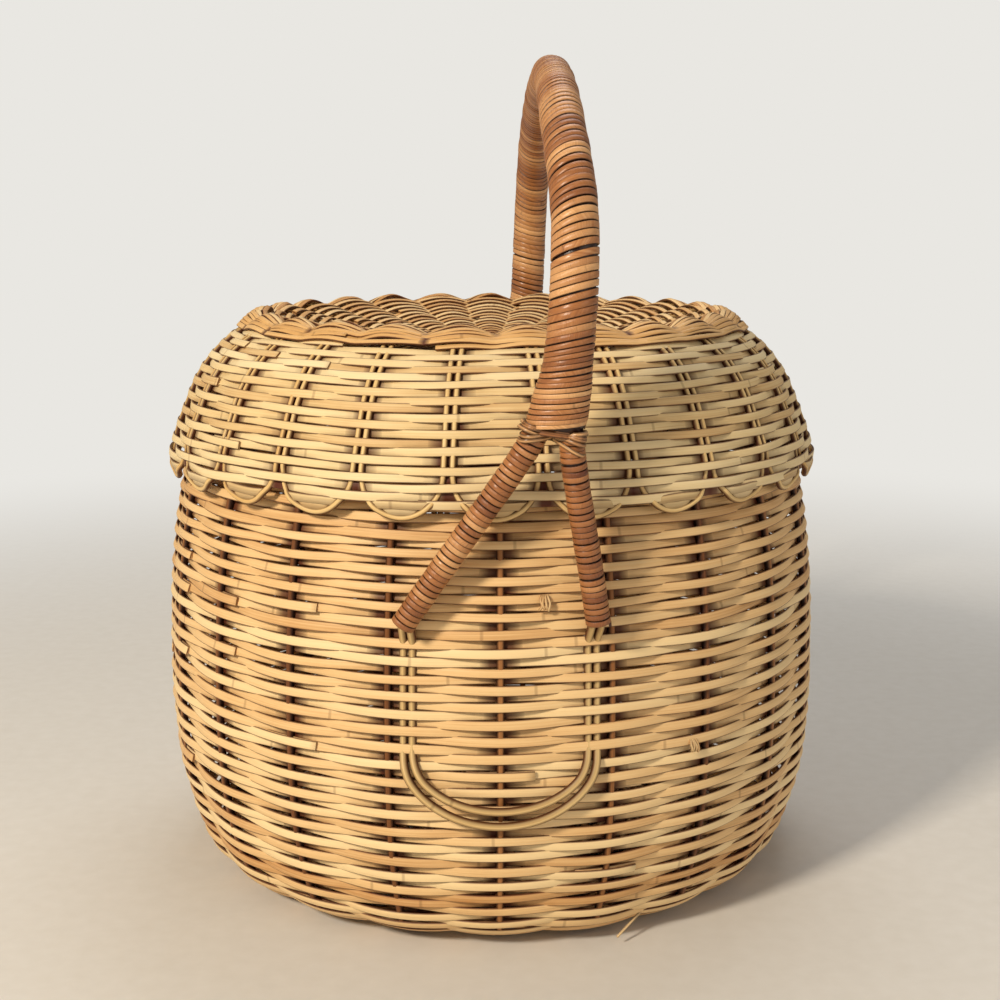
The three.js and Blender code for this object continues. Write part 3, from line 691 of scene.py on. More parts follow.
    def base_height(self, radius: float) -> float:
        """Gives the height of the stakes' centres in the base.

        They lie on the dome, which falls from its middle by its height times the square of the share of its
        radius.

        Args:
            radius: distance from the axis.

        Returns:
            The height.
        """
        share = min(radius / self.base_dome_radius, 1.0)
        dome = self.base_thickness + self.base_dome * (1.0 - share * share)
        return dome + self.seat_gap + self.stake_radius

    def stake_course(self, number: int) -> Array:
        """Gives one stake's course from the border down the wall and in over the base.

        Args:
            number: how many stakes on from the first it stands.

        Returns:
            Points at its centre, the inmost last.
        """
        angle = self.first_stake + number % self.stake_count * self.step
        arc = np.linspace(self.wall.along[-1], self.course_end, self.course_points)
        on_wall, _ = self.wall.place(arc, angle, -self.stake_inset)
        heights = [self.fan_edge_height] + [self.base_height(radius) for radius in self.fan_radii[1:]]
        return np.vstack([on_wall, around_axis(np.array(self.fan_radii), angle, heights)])

    def set_stakes(self) -> None:
        """Sets the long canes: each runs down the wall, through the cross in the base and up again."""
        group = self.cross_group
        half = group * self.cross_pitch / 2 + self.stake_radius
        courses = []
        for layer in range(self.cross_layers):
            for place in range(group):
                aside = (place - (group - 1) / 2) * self.cross_pitch
                height = self.base_height(0) + self.cross_rise * layer
                ends = [
                    (way * half, aside, height) if layer == 0 else (-aside, way * half, height)
                    for way in (1, -1)
                ]
                start = self.stake_course(self.cross_start + layer * group + place)
                opposite = (layer + self.cross_layers) * group + group - 1 - place
                finish = self.stake_course(self.cross_start + opposite)[::-1]
                courses.append(np.vstack([start, ends, finish]))
        lone = self.stake_course(self.cross_start + 2 * self.cross_layers * group)
        section = round_section(self.stake_radius, self.stake_sides)
        for index, course in enumerate(courses + [lone], start=1):
            path = smooth_line(course, self.stake_points * (1 if course is lone else 2))
            mesh = CaneMesh()
            outward = unit(path * LEVEL - self.stake_tip * UP)
            mesh.sweep(path, outward, section, self.rng.uniform(*self.stake_tones))
            node = f"body_cane_{index:02d}"
            show_piece(f"stake_{index:02d}", mesh, self.cane, Body.BASKET, Slot.ROUND_CANE, node)

    def lay_border(self) -> None:
        """Lays the border: each stake's end bends over, passes before two stakes and tucks in behind one.

        Its radius goes in and out by one and a quarter sine waves. It rises by a half sine wave brought to
        a power, so it lies nearly level on top.
        """
        mesh = CaneMesh()
        share = even_shares(self.border_points)
        waves, late = self.border_waves
        radius = self.border_radius + self.border_weave * np.sin(TURN * (share * waves - late))
        halves, power = self.border_hump
        hump = np.sin(math.pi * np.clip(share * halves, 0, 1)) ** power
        height = self.border_foot + self.border_rise * hump
        section = round_section(self.stake_radius, self.stake_sides)
        for number in range(self.stake_count):
            angle = self.first_stake + (number + share * self.border_reach) * self.step
            mesh.sweep(around_axis(radius, angle, height), UP, section, self.rng.uniform(*self.pale_tones))
        show_piece("border_canes", mesh, self.reed, Body.BASKET, Slot.BODY_WEAVE, "body_border")

    def leave_ends(self) -> None:
        """Leaves two broken, frayed reed ends on the front of the wall, and a splinter under its edge.

        A fray is a few short splinters side by side, which come out through the weave, bulge and droop.
        """
        mesh = CaneMesh(edge_shade=0.4)
        section = reed_section(*self.fray_size, FINE_SIDES)
        share = even_shares(self.fray_points)
        start, swell, bend = self.fray_swell
        above, fall, differs = self.fray_droop
        for degrees, height in self.breaks:
            radius = self.wall.radius_at_height(height)
            for place in self.fray_places:
                out = radius + (start + swell * np.sin(bend * share)) * MM
                aside = place * (self.fray_pitch + self.fray_spread * share)
                aside = aside + drift(share, *self.fray_drift, self.rng)
                level = height + (above - (fall + self.rng.uniform(-differs, differs)) * share) * MM
                path = around_axis(out, math.radians(degrees) + aside / radius, level)
                mesh.sweep(path, unit(path * LEVEL), section, self.rng.uniform(*self.pale_tones))
        path = np.linspace(*self.splinter, self.splinter_points) * MM
        section = reed_section(*self.splinter_size, FINE_SIDES)
        mesh.sweep(path, unit(np.array(self.splinter_facing)), section, self.splinter_tone)
        show_piece("broken_ends", mesh, self.reed, Body.BASKET, Slot.BODY_WEAVE)

    def build(self) -> None:
        """Builds the whole body."""
        self.weave_wall()
        self.weave_base()
        self.set_stakes()
        self.lay_border()
        self.leave_ends()


# The lid


@dataclass
class Lid:
    """The cap-like lid: paired canes bent into scallops, a woven side, a waved rim and a fluted top."""

    reed: Material  # of the side
    fine_reed: Material  # of the rim and the top
    cane: Material
    pair_count: int = 25
    first_pair: float = math.radians(-96.3)
    pair_pitch: float = 4.6 * MM  # between the two canes of a pair
    cane_radius: float = 1.8 * MM
    cane_inset: float = 3.2 * MM  # of the canes' centres below the side's outline
    cane_sides: int = 8
    cane_points: int = 120
    run_points: int = 26  # of the shape of a cane's run on the side
    side_margin: float = 0.5 * MM  # by which the rows run on past both ends of the side
    swing: Pair = (1.6 * MM, 1.6 * MM)
    row_pitch: float = 4.65 * MM
    reed_width: float = 4.9 * MM
    reed_thickness: float = 1.3 * MM
    side_points: Rows = (
        (194.8, 238.0), (197.3, 250.0), (193.6, 264.8), (187.2, 281.2), (179.6, 298.4), (169.0, 313.2),
        (160.5, 321.0), (152.0, 326.6),
    )  # the first lies below the shoulders of the scallops
    skirt_height: float = 250 * MM  # of those shoulders
    edge_inset: float = 1.9 * MM
    scallop_rise: float = 17 * MM
    scallop_depth: float = 9 * MM
    scallop_points: int = 40  # of the shape of its half ellipse, ends included
    # How far out its cane turns, from what height above its bottom, and over what height: below nil, that is
    # downwards. All in millimetres
    scallop_turns: Rows = ((-2.9, 5.0, 7.0), (1.6, 18.0, 7.0), (-1.2, 12.0, -12.0))
    fill_rows: Rows = ((248.6, 16.4, 0.2), (244.6, 11.2, 0.9))  # height, half width and curl inwards
    fill_radius: float = 197 * MM
    fill_shares: Pair = (0.94, 0.8)  # of a full row's width and thickness
    fill_sides: int = 7
    fill_points: int = 15
    fill_drift: Pair = (0.3 * MM, 2.0)
    fill_lift: float = 0.3  # out from the edge's inset, in millimetres
    fill_tuck: Pair = (1.8 * MM, 4)  # of its ends, in behind the scallop's cane, and the curve's power
    rim_points: Rows = ((154.0, 325.6), (149.0, 329.6), (144.0, 332.2), (139.5, 332.6), (136.5, 331.6))
    rim_height: float = 332 * MM
    dish: float = 20 * MM  # how far the top's middle lies below the rim
    top_radii: Numbers = (137.0, 125.0, 105.0, 80.0, 50.0, 18.0)
    top_edge: float = 139 * MM
    top_margins: Pair = (0.5 * MM, 2 * MM)  # from the outline's ends to the first and the last row
    top_pitch: float = 3.4 * MM
    top_reed: Pair = (3.6 * MM, 1.6 * MM)  # width and thickness
    top_hump: float = 3.3 * MM  # swing of the top's reeds at its edge
    top_ripple: float = 1.1 * MM  # and near its middle
    top_rib_inset: float = 1.2 * MM
    top_rib_radius: float = 1.5 * MM
    top_rib_split: float = 90 * MM  # radius where a rib's partner joins it
    top_rib_parting: float = 30 * MM  # over which the two part
    top_rib_end: float = 8 * MM  # past the top's edge
    top_rib_points: int = 24
    button_radius: float = 18 * MM  # where the long ribs end
    button_turns: int = 7
    button_pitch: float = 2.7 * MM
    button_reed: Pair = (3.0 * MM, 2.4 * MM)
    button_start: float = 1.6 * MM  # radius at which its coil begins
    button_inset: float = 0.6 * MM
    button_points: int = 280
    button_tone: float = 0.4
    tones: Pair = (0.2, 0.7)
    cane_tones: Pair = (0.05, 0.45)
    rng: np.random.Generator = field(default_factory=partial(np.random.default_rng, 23))

    def __post_init__(self) -> None:
        """Works out the side's outline, and the step from pair to pair."""
        self.side = Outline(self.side_points)
        self.step = TURN / self.pair_count
        self.weave = partial(Weave, rib_count=self.pair_count, first_rib=self.first_pair, sides=8)

    def weave_side(self) -> None:
        """Weaves the side, and the short rows that fill each scallop below the last full row."""
        mesh = CaneMesh()
        weave = self.weave(
            self.side, rib_inset=self.cane_inset, swing=self.swing, pitch=self.row_pitch,
            width=self.reed_width, thickness=self.reed_thickness, steps=11, looseness=0.34 * MM,
            reach=(18, 48), power=0.85, level=0.8, tilt=-0.1, clean=0.86, variety=0.13,
        )
        start = self.side.arc_at_height(self.skirt_height - self.side_margin)
        weave.work(mesh, start, self.side.along[-1] + self.side_margin, self.rng)
        share = np.linspace(-1.0, 1.0, self.fill_points)
        wide, thick = self.fill_shares
        section = reed_section(self.reed_width * wide, self.reed_thickness * thick, self.fill_sides)
        tuck, power = self.fill_tuck
        for index in range(self.pair_count):
            for height, half_width, curl in self.fill_rows:
                arc = self.side.arc_at_height(height * MM) + drift(share, *self.fill_drift, self.rng)
                middle = self.first_pair + (index + 0.5) * self.step
                angle = middle + share * half_width * MM / self.fill_radius
                lift = -self.edge_inset + (self.fill_lift - curl) * MM - tuck * np.abs(share) ** power
                mesh.sweep(*self.side.place(arc, angle, lift), section, self.rng.uniform(*self.tones))
        show_piece("lid_side_reeds", mesh, self.reed, Body.LID, Slot.LID_WEAVE, "lid_side_weave")

    def scallop_lift(self, height: Array) -> Array:
        """Gives how far a scallop's cane lies out from the side's outline at a height.

        It lies behind the reeds at its shoulders, comes out before them below, and curls in at the bottom.
        It is the edge's inset and the sum of the turns, each of which eases from nil to its whole.

        Args:
            height: of the cane's centre.

        Returns:
            The distance out, which is less than nil inside the outline.
        """
        above = (height - self.skirt_height + self.scallop_depth) / MM
        lift = -self.edge_inset
        for depth, begin, length in self.scallop_turns:
            lift = lift + depth * MM * smoothstep((above - begin) / length)
        return lift

    def bend_canes(self) -> None:
        """Bends each rib cane: down beside one pair's middle, round a scallop and up beside the next's.

        The scallop is half an ellipse, from shoulder to shoulder.
        """
        shoulder = self.skirt_height + self.scallop_rise
        arc = np.linspace(self.side.along[-1], self.side.arc_at_height(shoulder), self.run_points)
        aside = self.pair_pitch / 2 / read_rows(arc, self.side.along, self.side.line)[:, 0]
        angle = math.pi * (1.0 + even_shares(self.scallop_points)[1:-1])
        height = shoulder + (self.scallop_depth + self.scallop_rise) * np.sin(angle)
        half = self.step / 2 - aside[-1]
        section = round_section(self.cane_radius, self.cane_sides)
        for index in range(self.pair_count):
            start = self.first_pair + index * self.step
            down, _ = self.side.place(arc, start + aside, -self.cane_inset)
            up, _ = self.side.place(arc[::-1], start + self.step - aside[::-1], -self.cane_inset)
            along = start + self.step / 2 + half * np.cos(angle)
            scallop, _ = self.side.place(self.side.arc_at_height(height), along, self.scallop_lift(height))
            path = even_points(np.vstack([down, scallop, up]), self.cane_points)
            mesh = CaneMesh()
            mesh.sweep(path, unit(path * LEVEL), section, self.rng.uniform(*self.cane_tones))
            number = f"{index + 1:02d}"
            show_piece(f"lid_rib_{number}", mesh, self.cane, Body.LID, Slot.LID_WEAVE, f"lid_cane_{number}")

    def top_height(self, radius: Array) -> Array:
        """Gives the mean height of the dished top: the rim's less the dish times 1 - share squared."""
        return self.rim_height - self.dish * (1.0 - (radius / self.top_edge) ** 2)

    def weave_top(self) -> None:
        """Weaves the dished top in plain weave over radial ribs, round a coiled button in the middle.

        Each row rides high over one rib and dips deep under the next, so that every rib carries a ridge of
        every other row, and the ridges meet in a row of V shapes between the ribs. The button's reed lies
        in a spiral whose radius grows by its pitch with each turn.
        """
        mesh = CaneMesh()
        radii = np.array(self.top_radii)
        outline = Outline(np.stack([radii, self.top_height(radii * MM) / MM], axis=1))
        width, thickness = self.top_reed
        weave = self.weave(
            outline, rib_inset=self.top_rib_inset, swing=(self.top_hump, self.top_ripple),
            pitch=self.top_pitch, width=width, thickness=thickness, steps=9, looseness=0.14 * MM,
            reach=(18, 50), power=0.85, level=0.0,
        )
        weave.work(mesh, self.top_margins[0], outline.along[-1] - self.top_margins[1], self.rng)
        turns = np.linspace(0.0, self.button_turns, self.button_points)
        reach = self.button_start + self.button_pitch * turns
        path = around_axis(reach, TURN * turns, self.top_height(reach) - self.button_inset)
        mesh.sweep(path, UP, reed_section(*self.button_reed, FINE_SIDES), self.button_tone)
        show_piece("lid_top_reeds", mesh, self.fine_reed, Body.LID, Slot.LID_WEAVE, "lid_top_weave")

    def set_top_ribs(self) -> None:
        """Sets the radial ribs of the top: one runs to the button, and its partner stops halfway."""
        mesh = CaneMesh(edge_shade=0.5)
        section = round_section(self.top_rib_radius, FINE_SIDES)
        for index in range(self.pair_count):
            for side, inner in ((-1, self.button_radius), (1, self.top_rib_split)):
                radius = np.linspace(inner, self.top_edge + self.top_rib_end, self.top_rib_points)
                parted = smoothstep((radius - self.top_rib_split) / self.top_rib_parting)
                spread = parted * self.pair_pitch / 2
                angle = self.first_pair + index * self.step + side * spread / radius
                height = np.minimum(self.top_height(radius), self.rim_height) - self.top_rib_inset
                mesh.sweep(around_axis(radius, angle, height), UP, section, self.rng.uniform(*self.tones))
        show_piece("lid_top_ribs", mesh, self.cane, Body.LID, Slot.LID_WEAVE)

    def wave_rim(self) -> None:
        """Weaves the rim: the last rows turn over the shoulder and rise and dip with the top's flutes."""
        mesh = CaneMesh()
        weave = self.weave(
            Outline(self.rim_points), rib_inset=0.7 * MM, swing=(0.5 * MM, self.top_hump), pitch=2.7 * MM,
            width=3.4 * MM, thickness=1.5 * MM, steps=12, looseness=0.7 * MM, reach=(16, 40), power=1.1,
            level=0.0, fluted=True,
        )
        weave.work(mesh, 0.0, weave.outline.along[-1], self.rng)
        show_piece("lid_rim_reeds", mesh, self.fine_reed, Body.LID, Slot.LID_WEAVE, "lid_rim_roll")

    def build(self) -> None:
        """Builds the whole lid."""
        self.weave_side()
        self.bend_canes()
        self.weave_top()
        self.set_top_ribs()
        self.wave_rim()


# The handle


@dataclass(frozen=True)
class Fork:
    """One end of the arch, where it stands on two legs."""

    name: str
    way: int  # -1 at the front and 1 at the back
    end: Array  # of the arch's centre line
    up: Array  # direction of that line there

    @property
    def aside(self) -> Array:
        """The direction nearest to +X that is square to the arch's end."""
        return unit(RIGHT - self.up[0] * self.up)


@dataclass(frozen=True)
class Tie:
    """One strand of a fork's lashing, with lengths in millimetres."""

    drop: float  # from the legs' tops to its start
    slip: float  # how far it goes down with each turn
    tilt: float  # of its turns, as a tangent
    turns: float
    begin: float  # the angle at which it starts, in radians
    crossed: bool = True  # whether it makes a figure of eight, and not an oval


@dataclass
class BoundHandle:
    """The arch, bound with cane from fork to fork, its four bound legs and the loops that carry them."""

    # Of the winding, with depths and sizes as shares of its pitch
    TUBE_SIDES, TUBE_STRIDE = 12, 4  # of the tube's section, and points of the line from ring to ring
    STRAND_SIDES = 8
    TUBE_DEPTH = 0.31  # from its crest down to the tube under it
    STRAND_DEPTH = 0.25  # and down to the strand's middle
    STRAND_SIZE = (0.97, 0.5)
    STRAY = (0.035, 5.0)  # of the strand in and out, with the wavelength in turns
    SLIP = (0.11, 4.0)  # of the strand along its course, both in turns
    TONES = (0.1, 0.17)  # how far stretches of turns and single turns differ in tone
    TONE_TURNS = 5.0  # length of such a stretch

    binding: Material
    cane: Material  # of the loops, and of the core that nothing shows
    # The arch's centre line, in millimetres
    half_span: float = 211.8
    fork_height: float = 291.0
    shoulder: float = 330.0  # height where it starts to turn in
    top: float = 470.0
    lean: float = 41.0  # how far it stands aside, towards +X
    lean_shares: Numbers = (0.78, 0.94, 1, 0.89, 0.83, 0.82, 0.78, 0.72, 0.67, 0.61, 0.51)  # front to back
    turn_shares: Numbers = (0.22, 0.5, 0.78)  # of the quarter turn from its shoulder to its top
    arch_points: int = 900
    power: float = 2.5  # of the superellipse that the arch follows over its shoulders
    wrap_radius: float = 12 * MM
    grip_radius: float = 10.6 * MM
    wrap_pitch: float = 3.8 * MM
    end_pitch: float = 2.6 * MM  # near the forks
    end_length: float = 36 * MM  # of the part so bound
    end_fade: float = 14 * MM  # over which the pitch widens
    end_draw: float = 1.0 * MM  # by which the binding closes at its end
    end_draw_length: float = 7 * MM
    fork_flare: float = 3.8 * MM
    fork_flare_length: float = 34 * MM
    slant: float = 0.3
    slant_shares: Pair = (0.35, 0.65)  # of it, for all of the arch and for what is wound at the full pitch
    arm_steps: int = 30  # stations in a turn
    arm_tone: float = 0.43
    leg_radius: float = 6.5 * MM
    leg_pitch: float = 3.2 * MM
    leg_slant: float = 0.1
    leg_steps: int = 22
    leg_tone: float = 0.56
    leg_spread: float = 8.4 * MM
    leg_bend: float = 10 * MM
    leg_points: int = 200
    leg_gap: float = 0.4 * MM  # between the arm's end and the legs
    foot_height: float = 189 * MM
    foot_gap: float = 1.3 * MM
    foot_angles: Pair = (-12.4, 15.6)  # degrees aside from the plane x = 0
    loop_radius: float = 2.2 * MM
    loop_sides: int = 10
    loop_points: int = 260
    leg_stride: int = 12  # one in so many of a leg's points shapes a loop's cane
    run_points: int = 8  # of its shape from the foot to the turn
    bottom_points: int = 24  # of the shape of its half ellipse
    loop_pitch: float = 4.9 * MM
    loop_depths: Pair = (-3.5, 3.4)  # out from the wall in the weave and at the bottom, in millimetres
    loop_start: float = 13 * MM  # below the foot, where a cane has gone into the weave
    loop_out: Pair = (2 * MM, 20 * MM)  # above the turn, where it starts to come out, and over what height
    turn_height: float = 123 * MM  # where the half ellipse begins
    bottom_height: float = 82.5 * MM  # of the outer cane's lowest point
    bottom_gap: float = 8.2 * MM  # from there up to the inner cane's
    loop_tone: float = 0.16
    ties: tuple[Tie, ...] = (
        Tie(0.0, 1.9, 0.04, 2.6, 0.0, False), Tie(0.5, 1.8, -0.10, 2.2, 0.4), Tie(2.5, 2.2, 0.24, 1.7, 2.4),
        Tie(5.0, 2.4, -0.32, 1.2, 4.4),
    )
    tie_gaps: Pair = (0.1, 0.5)  # from a leg to an oval tie and to a crossed one, in millimetres
    tie_depths: Pair = (1.12, 1.2)  # how far those two stand out and in, as shares of their reach round a leg
    tie_steps: int = 60  # stations in a turn
    tie_drift: Pair = (0.4, 0.7)
    tie_size: Pair = (2.1 * MM, 1.0 * MM)
    tie_tones: Pair = (0.0, 0.35)
    oval_tone: float = 0.5
    rng: np.random.Generator = field(default_factory=partial(np.random.default_rng, 37))

    def __post_init__(self) -> None:
        """Works out the arch and its two forks.

        Over its shoulders the arch is a superellipse: the span times the cosine, and the height times the
        sine, each brought to 2 over the power.
        """
        angles = np.array(self.turn_shares) * math.pi / 2
        along = np.concatenate([[self.half_span] * 2, self.half_span * np.cos(angles) ** (2 / self.power)])
        bend = self.shoulder + (self.top - self.shoulder) * np.sin(angles) ** (2 / self.power)
        height = np.concatenate([[self.fork_height, self.shoulder], bend])
        along = np.concatenate([-along, [0.0], along[::-1]])
        height = np.concatenate([height, [self.top], height[::-1]])
        points = np.stack([np.array(self.lean_shares) * self.lean, along, height], axis=1) * MM
        self.arch = smooth_line(points, self.arch_points)
        self.forks = (
            Fork("front", -1, self.arch[0], unit(self.arch[1] - self.arch[0])),
            Fork("back", 1, self.arch[-1], unit(self.arch[-2] - self.arch[-1])),
        )
        self.wall = Outline(BasketBody.wall_points)

    @staticmethod
    def frames(line: Array) -> tuple[Array, Array, Array]:
        """Gives three directions, square to each other, at each point of a line.

        Args:
            line: the points.

        Returns:
            The direction along the line, the one nearest to +X that is square to it, and the third.
        """
        along = unit(np.gradient(line, axis=0))
        aside = unit(RIGHT - along[:, :1] * along)
        return along, aside, np.cross(along, aside)

    def wind(
        self, mesh: CaneMesh, line: Array, radius: Array, wide: Array, pitch: Array, slant: float, steps: int,
        tone: float,
    ) -> None:
        """Winds a strand of peel closely round a line, over a plain tube in the stain colour that paints
        shade into its grooves.

        At turn angle t the strand's centre stands from the line by radius times (cos t, sin t) across it,
        the first widened, and along it by slant times radius times cos t, so the turns lie aslant.

        Args:
            mesh: what the strand is added to.
            line: the centre line, evenly spaced.
            radius: of the winding's crest at each point of the line.
            wide: how much each ring is stretched sideways.
            pitch: distance from one turn to the next at each point of the line.
            slant: tangent of the angle at which the turns lie.
            steps: stations in a turn.
            tone: the middle tone of the strand.
        """
        far = lengths_along(line)
        along, aside, third = self.frames(line)
        tube = round_section(1.0, self.TUBE_SIDES)[None] * (radius - self.TUBE_DEPTH * pitch)[:, None, None]
        tube = tube * np.stack([np.ones_like(wide), wide], axis=1)[:, None, :]
        picked = slice(None, None, self.TUBE_STRIDE)
        # The tube takes the darkest tone and full painted shade, so the grooves between turns show painted
        # shade.
        dark = np.ones(len(line[picked]))
        mesh.sweep(line[picked], -third[picked], tube[picked][..., ::-1][:, ::-1], 1.0, dark)
        turn_at = np.concatenate([[0.0], np.cumsum(2.0 * np.diff(far) / (pitch[1:] + pitch[:-1]))])
        turns = turn_at[-1]
        count = np.linspace(0.0, turns, int(turns * steps))
        station = np.interp(count + drift(count, *self.SLIP, self.rng), turn_at, far)
        centre, across, over, ahead = (read_rows(station, far, part) for part in (line, aside, third, along))
        local = np.interp(station, far, pitch)
        size = np.interp(station, far, radius) - self.STRAND_DEPTH * local
        size = size + drift(count, self.STRAY[0] * local, self.STRAY[1], self.rng)
        stretch = np.interp(station, far, wide)
        turn = np.stack([np.cos(TURN * count), np.sin(TURN * count)], axis=1)
        outward = turn[:, :1] * across * stretch[:, None] + turn[:, 1:] * over
        path = centre + size[:, None] * outward + slant * size[:, None] * turn[:, :1] * ahead
        section = reed_section(*self.STRAND_SIZE, self.STRAND_SIDES)[None] * local[:, None, None]
        tone_count = int(turns) + 2
        places = np.arange(tone_count)
        broad = np.interp(count, places * self.TONE_TURNS, self.rng.normal(tone, self.TONES[0], tone_count))
        single = np.interp(count, places, self.rng.normal(0.0, self.TONES[1], tone_count))
        mesh.sweep(path, unit(outward), section, np.clip(broad + single, 0.0, 1.0))

    def bind_arch(self) -> None:
        """Binds the arch from fork to fork. It is thinnest at the grip, and flares out over the legs.

        The radius falls to the grip's by the square of a half sine wave, and the flare is straight.
        """
        share = even_shares(len(self.arch))
        from_end = np.minimum(share, 1 - share) * lengths_along(self.arch)[-1]
        flare = np.clip(1.0 - from_end / self.fork_flare_length, 0.0, None)
        wide = 1.0 + self.fork_flare / self.wrap_radius * flare
        radius = self.wrap_radius - (self.wrap_radius - self.grip_radius) * np.sin(math.pi * share) ** 2
        radius = radius - self.end_draw * (1.0 - smoothstep(from_end / self.end_draw_length))
        coarse = smoothstep((from_end - self.end_length) / self.end_fade)
        pitch = self.end_pitch + (self.wrap_pitch - self.end_pitch) * coarse
        slant = self.slant * (self.slant_shares[0] + self.slant_shares[1] * coarse.mean())
        mesh = CaneMesh()
        self.wind(mesh, self.arch, radius, wide, pitch, slant, self.arm_steps, self.arm_tone)
        show_piece("handle_binding", mesh, self.binding, Body.BASKET, Slot.BOUND_CANE, "handle_wrap")

    def leg_line(self, fork: Fork, side: int) -> Array:
        """Gives a leg's centre line, from under the arm to its foot on the wall.

        It is the cubic mean of four points: the top, a point straight under it, the middle and the foot, each
        weighed by powers of the share and of what is left of it.

        Args:
            fork: the end of the arch that it stands under.
            side: -1 for the left leg and 1 for the right.

        Returns:
            Its points, evenly spaced.
        """
        top = fork.end - self.leg_gap * fork.up + side * self.leg_spread * fork.aside
        bend = top - self.leg_bend * fork.up
        angle = math.radians(self.foot_angles[0 if side < 0 else 1])
        radius = self.wall.radius_at_height(self.foot_height) + self.foot_gap + self.leg_radius
        foot = np.array([radius * math.sin(angle), fork.way * radius * math.cos(angle), self.foot_height])
        share = even_shares(self.leg_points)[:, None]
        rest = 1.0 - share
        middle = (top + foot) / 2
        line = rest**3 * top + 3 * rest**2 * share * bend + 3 * rest * share**2 * middle + share**3 * foot
        return even_points(line, self.leg_points)

    def bind_legs(self) -> None:
        """Binds the four legs."""
        for fork in self.forks:
            for side, word in ((-1, "left"), (1, "right")):
                mesh = CaneMesh()
                line = self.leg_line(fork, side)
                even = np.ones(len(line))
                radius, pitch = self.leg_radius * even, self.leg_pitch * even
                self.wind(mesh, line, radius, even, pitch, self.leg_slant, self.leg_steps, self.leg_tone)
                leg = f"{fork.name}_{word}_leg"
                node = f"{leg}_wrap"
                show_piece(f"{leg}_binding", mesh, self.binding, Body.BASKET, Slot.BOUND_CANE, node)

    def lay_loops(self) -> None:
        """Lays the two canes of each loop: down one leg and the wall, round underneath and up the other."""
        section = round_section(self.loop_radius, self.loop_sides)
        for fork in self.forks:
            for rank, word in ((-1, "inner"), (1, "outer")):
                mesh = CaneMesh()
                path = self.loop_path(fork, rank)
                mesh.sweep(path, unit(path * LEVEL), section, self.loop_tone)
                name = f"{fork.name}_loop_{word}"
                show_piece(f"{name}_cane", mesh, self.cane, Body.BASKET, Slot.ROUND_CANE, name)

    def loop_path(self, fork: Fork, rank: int) -> Array:
        """Gives one loop cane's course.

        Its two runs part from the middles of the feet by half the pitch, and its bottom is half an ellipse.
        The runs stand among the stakes, so that the reeds pass over and under them, and the bottom comes
        out through the weave and lies on its outer face.

        Args:
            fork: the end of the arch that it stands under.
            rank: -1 for the inner cane and 1 for the outer.

        Returns:
            The points of its centre line.
        """
        sides, angles = {}, []
        for side, foot in zip((-1, 1), self.foot_angles):
            line = self.leg_line(fork, side)
            aside = side * rank * self.loop_pitch / 2
            sides[side] = (line + self.frames(line)[1] * aside)[::self.leg_stride]
            angles.append(math.radians(foot) + aside / self.wall.radius_at_height(self.turn_height))
        bottom = self.bottom_height + (self.bottom_gap if rank < 0 else 0.0)
        share = math.pi * (1.0 + even_shares(self.bottom_points))
        along = sum(angles) / 2 + (angles[1] - angles[0]) / 2 * np.cos(share)
        height = self.turn_height + (self.turn_height - bottom) * np.sin(share)
        run = np.linspace(self.foot_height - self.loop_start, self.turn_height, self.run_points)[:-1]
        angle = np.concatenate([np.full(len(run), angles[0]), along, np.full(len(run), angles[1])])
        level = np.concatenate([run, height, run[::-1]])
        above, length = self.loop_out
        emerged = smoothstep((self.turn_height + above - level) / length)
        inside, outside = self.loop_depths
        radius = self.wall.radius_at_height(level) + (inside + (outside - inside) * emerged) * MM
        on_wall = np.stack([radius * np.sin(angle), fork.way * radius * np.cos(angle), level], axis=1)
        return smooth_line(np.vstack([sides[-1], on_wall, sides[1][::-1]]), self.loop_points)

    def lash_forks(self) -> None:
        """Lashes each pair of legs in the crotch with turns of thin peel that cross between the legs.

        The first strand goes round both legs in ovals. At turn angle t each other one, a figure of eight,
        stands aside by its reach times sin t, and out by a leg's radius times sin 2t. The strands lie aslant
        over each other and slip down a little with each turn.
        """
        section = reed_section(*self.tie_size, FINE_SIDES)
        for fork in self.forks:
            mesh = CaneMesh()
            left, right = self.leg_line(fork, -1), self.leg_line(fork, 1)
            out = np.cross(fork.aside, fork.up)
            out = out * np.sign(out[1] * fork.way)
            for tie in self.ties:
                count = np.linspace(0.0, tie.turns, int(tie.turns * self.tie_steps))
                angle = TURN * count + tie.begin
                down = tie.drop + tie.slip * count + drift(count, *self.tie_drift, self.rng)
                level = left[0, 2] - down * MM
                starts, ends = (read_rows(level, line[::-1, 2], line[::-1]) for line in (left, right))
                centre = (starts + ends) / 2
                half = np.linalg.norm(ends - starts, axis=1) / 2
                reach = self.leg_radius + self.tie_gaps[tie.crossed] * MM
                across = (half + reach) * np.sin(angle)
                wave = np.sin(2 * angle) if tie.crossed else np.cos(angle)
                forward = reach * (self.tie_depths[tie.crossed] * wave)
                path = centre + across[:, None] * fork.aside + forward[:, None] * out
                path = path + (tie.tilt * across)[:, None] * fork.up
                nearest = np.sign(across)[:, None] * (half[:, None] * fork.aside)
                outward = unit(path - centre - nearest * np.clip(np.abs(across) / half, 0, 1)[:, None])
                tone = self.rng.uniform(*self.tie_tones) if tie.crossed else self.oval_tone
                mesh.sweep(path, outward, section, tone)
            node = f"{fork.name}_fork_lashing"
            show_piece(f"{fork.name}_fork_ties", mesh, self.binding, Body.BASKET, Slot.BOUND_CANE, node)

    def build(self) -> None:
        """Builds the whole handle and gives its hidden core the plain cane finish."""
        self.bind_arch()
        self.bind_legs()
        self.lay_loops()
        self.lash_forks()
        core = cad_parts["handle_core"]
        core.data.materials.clear()
        core.data.materials.append(self.cane)


# The studio


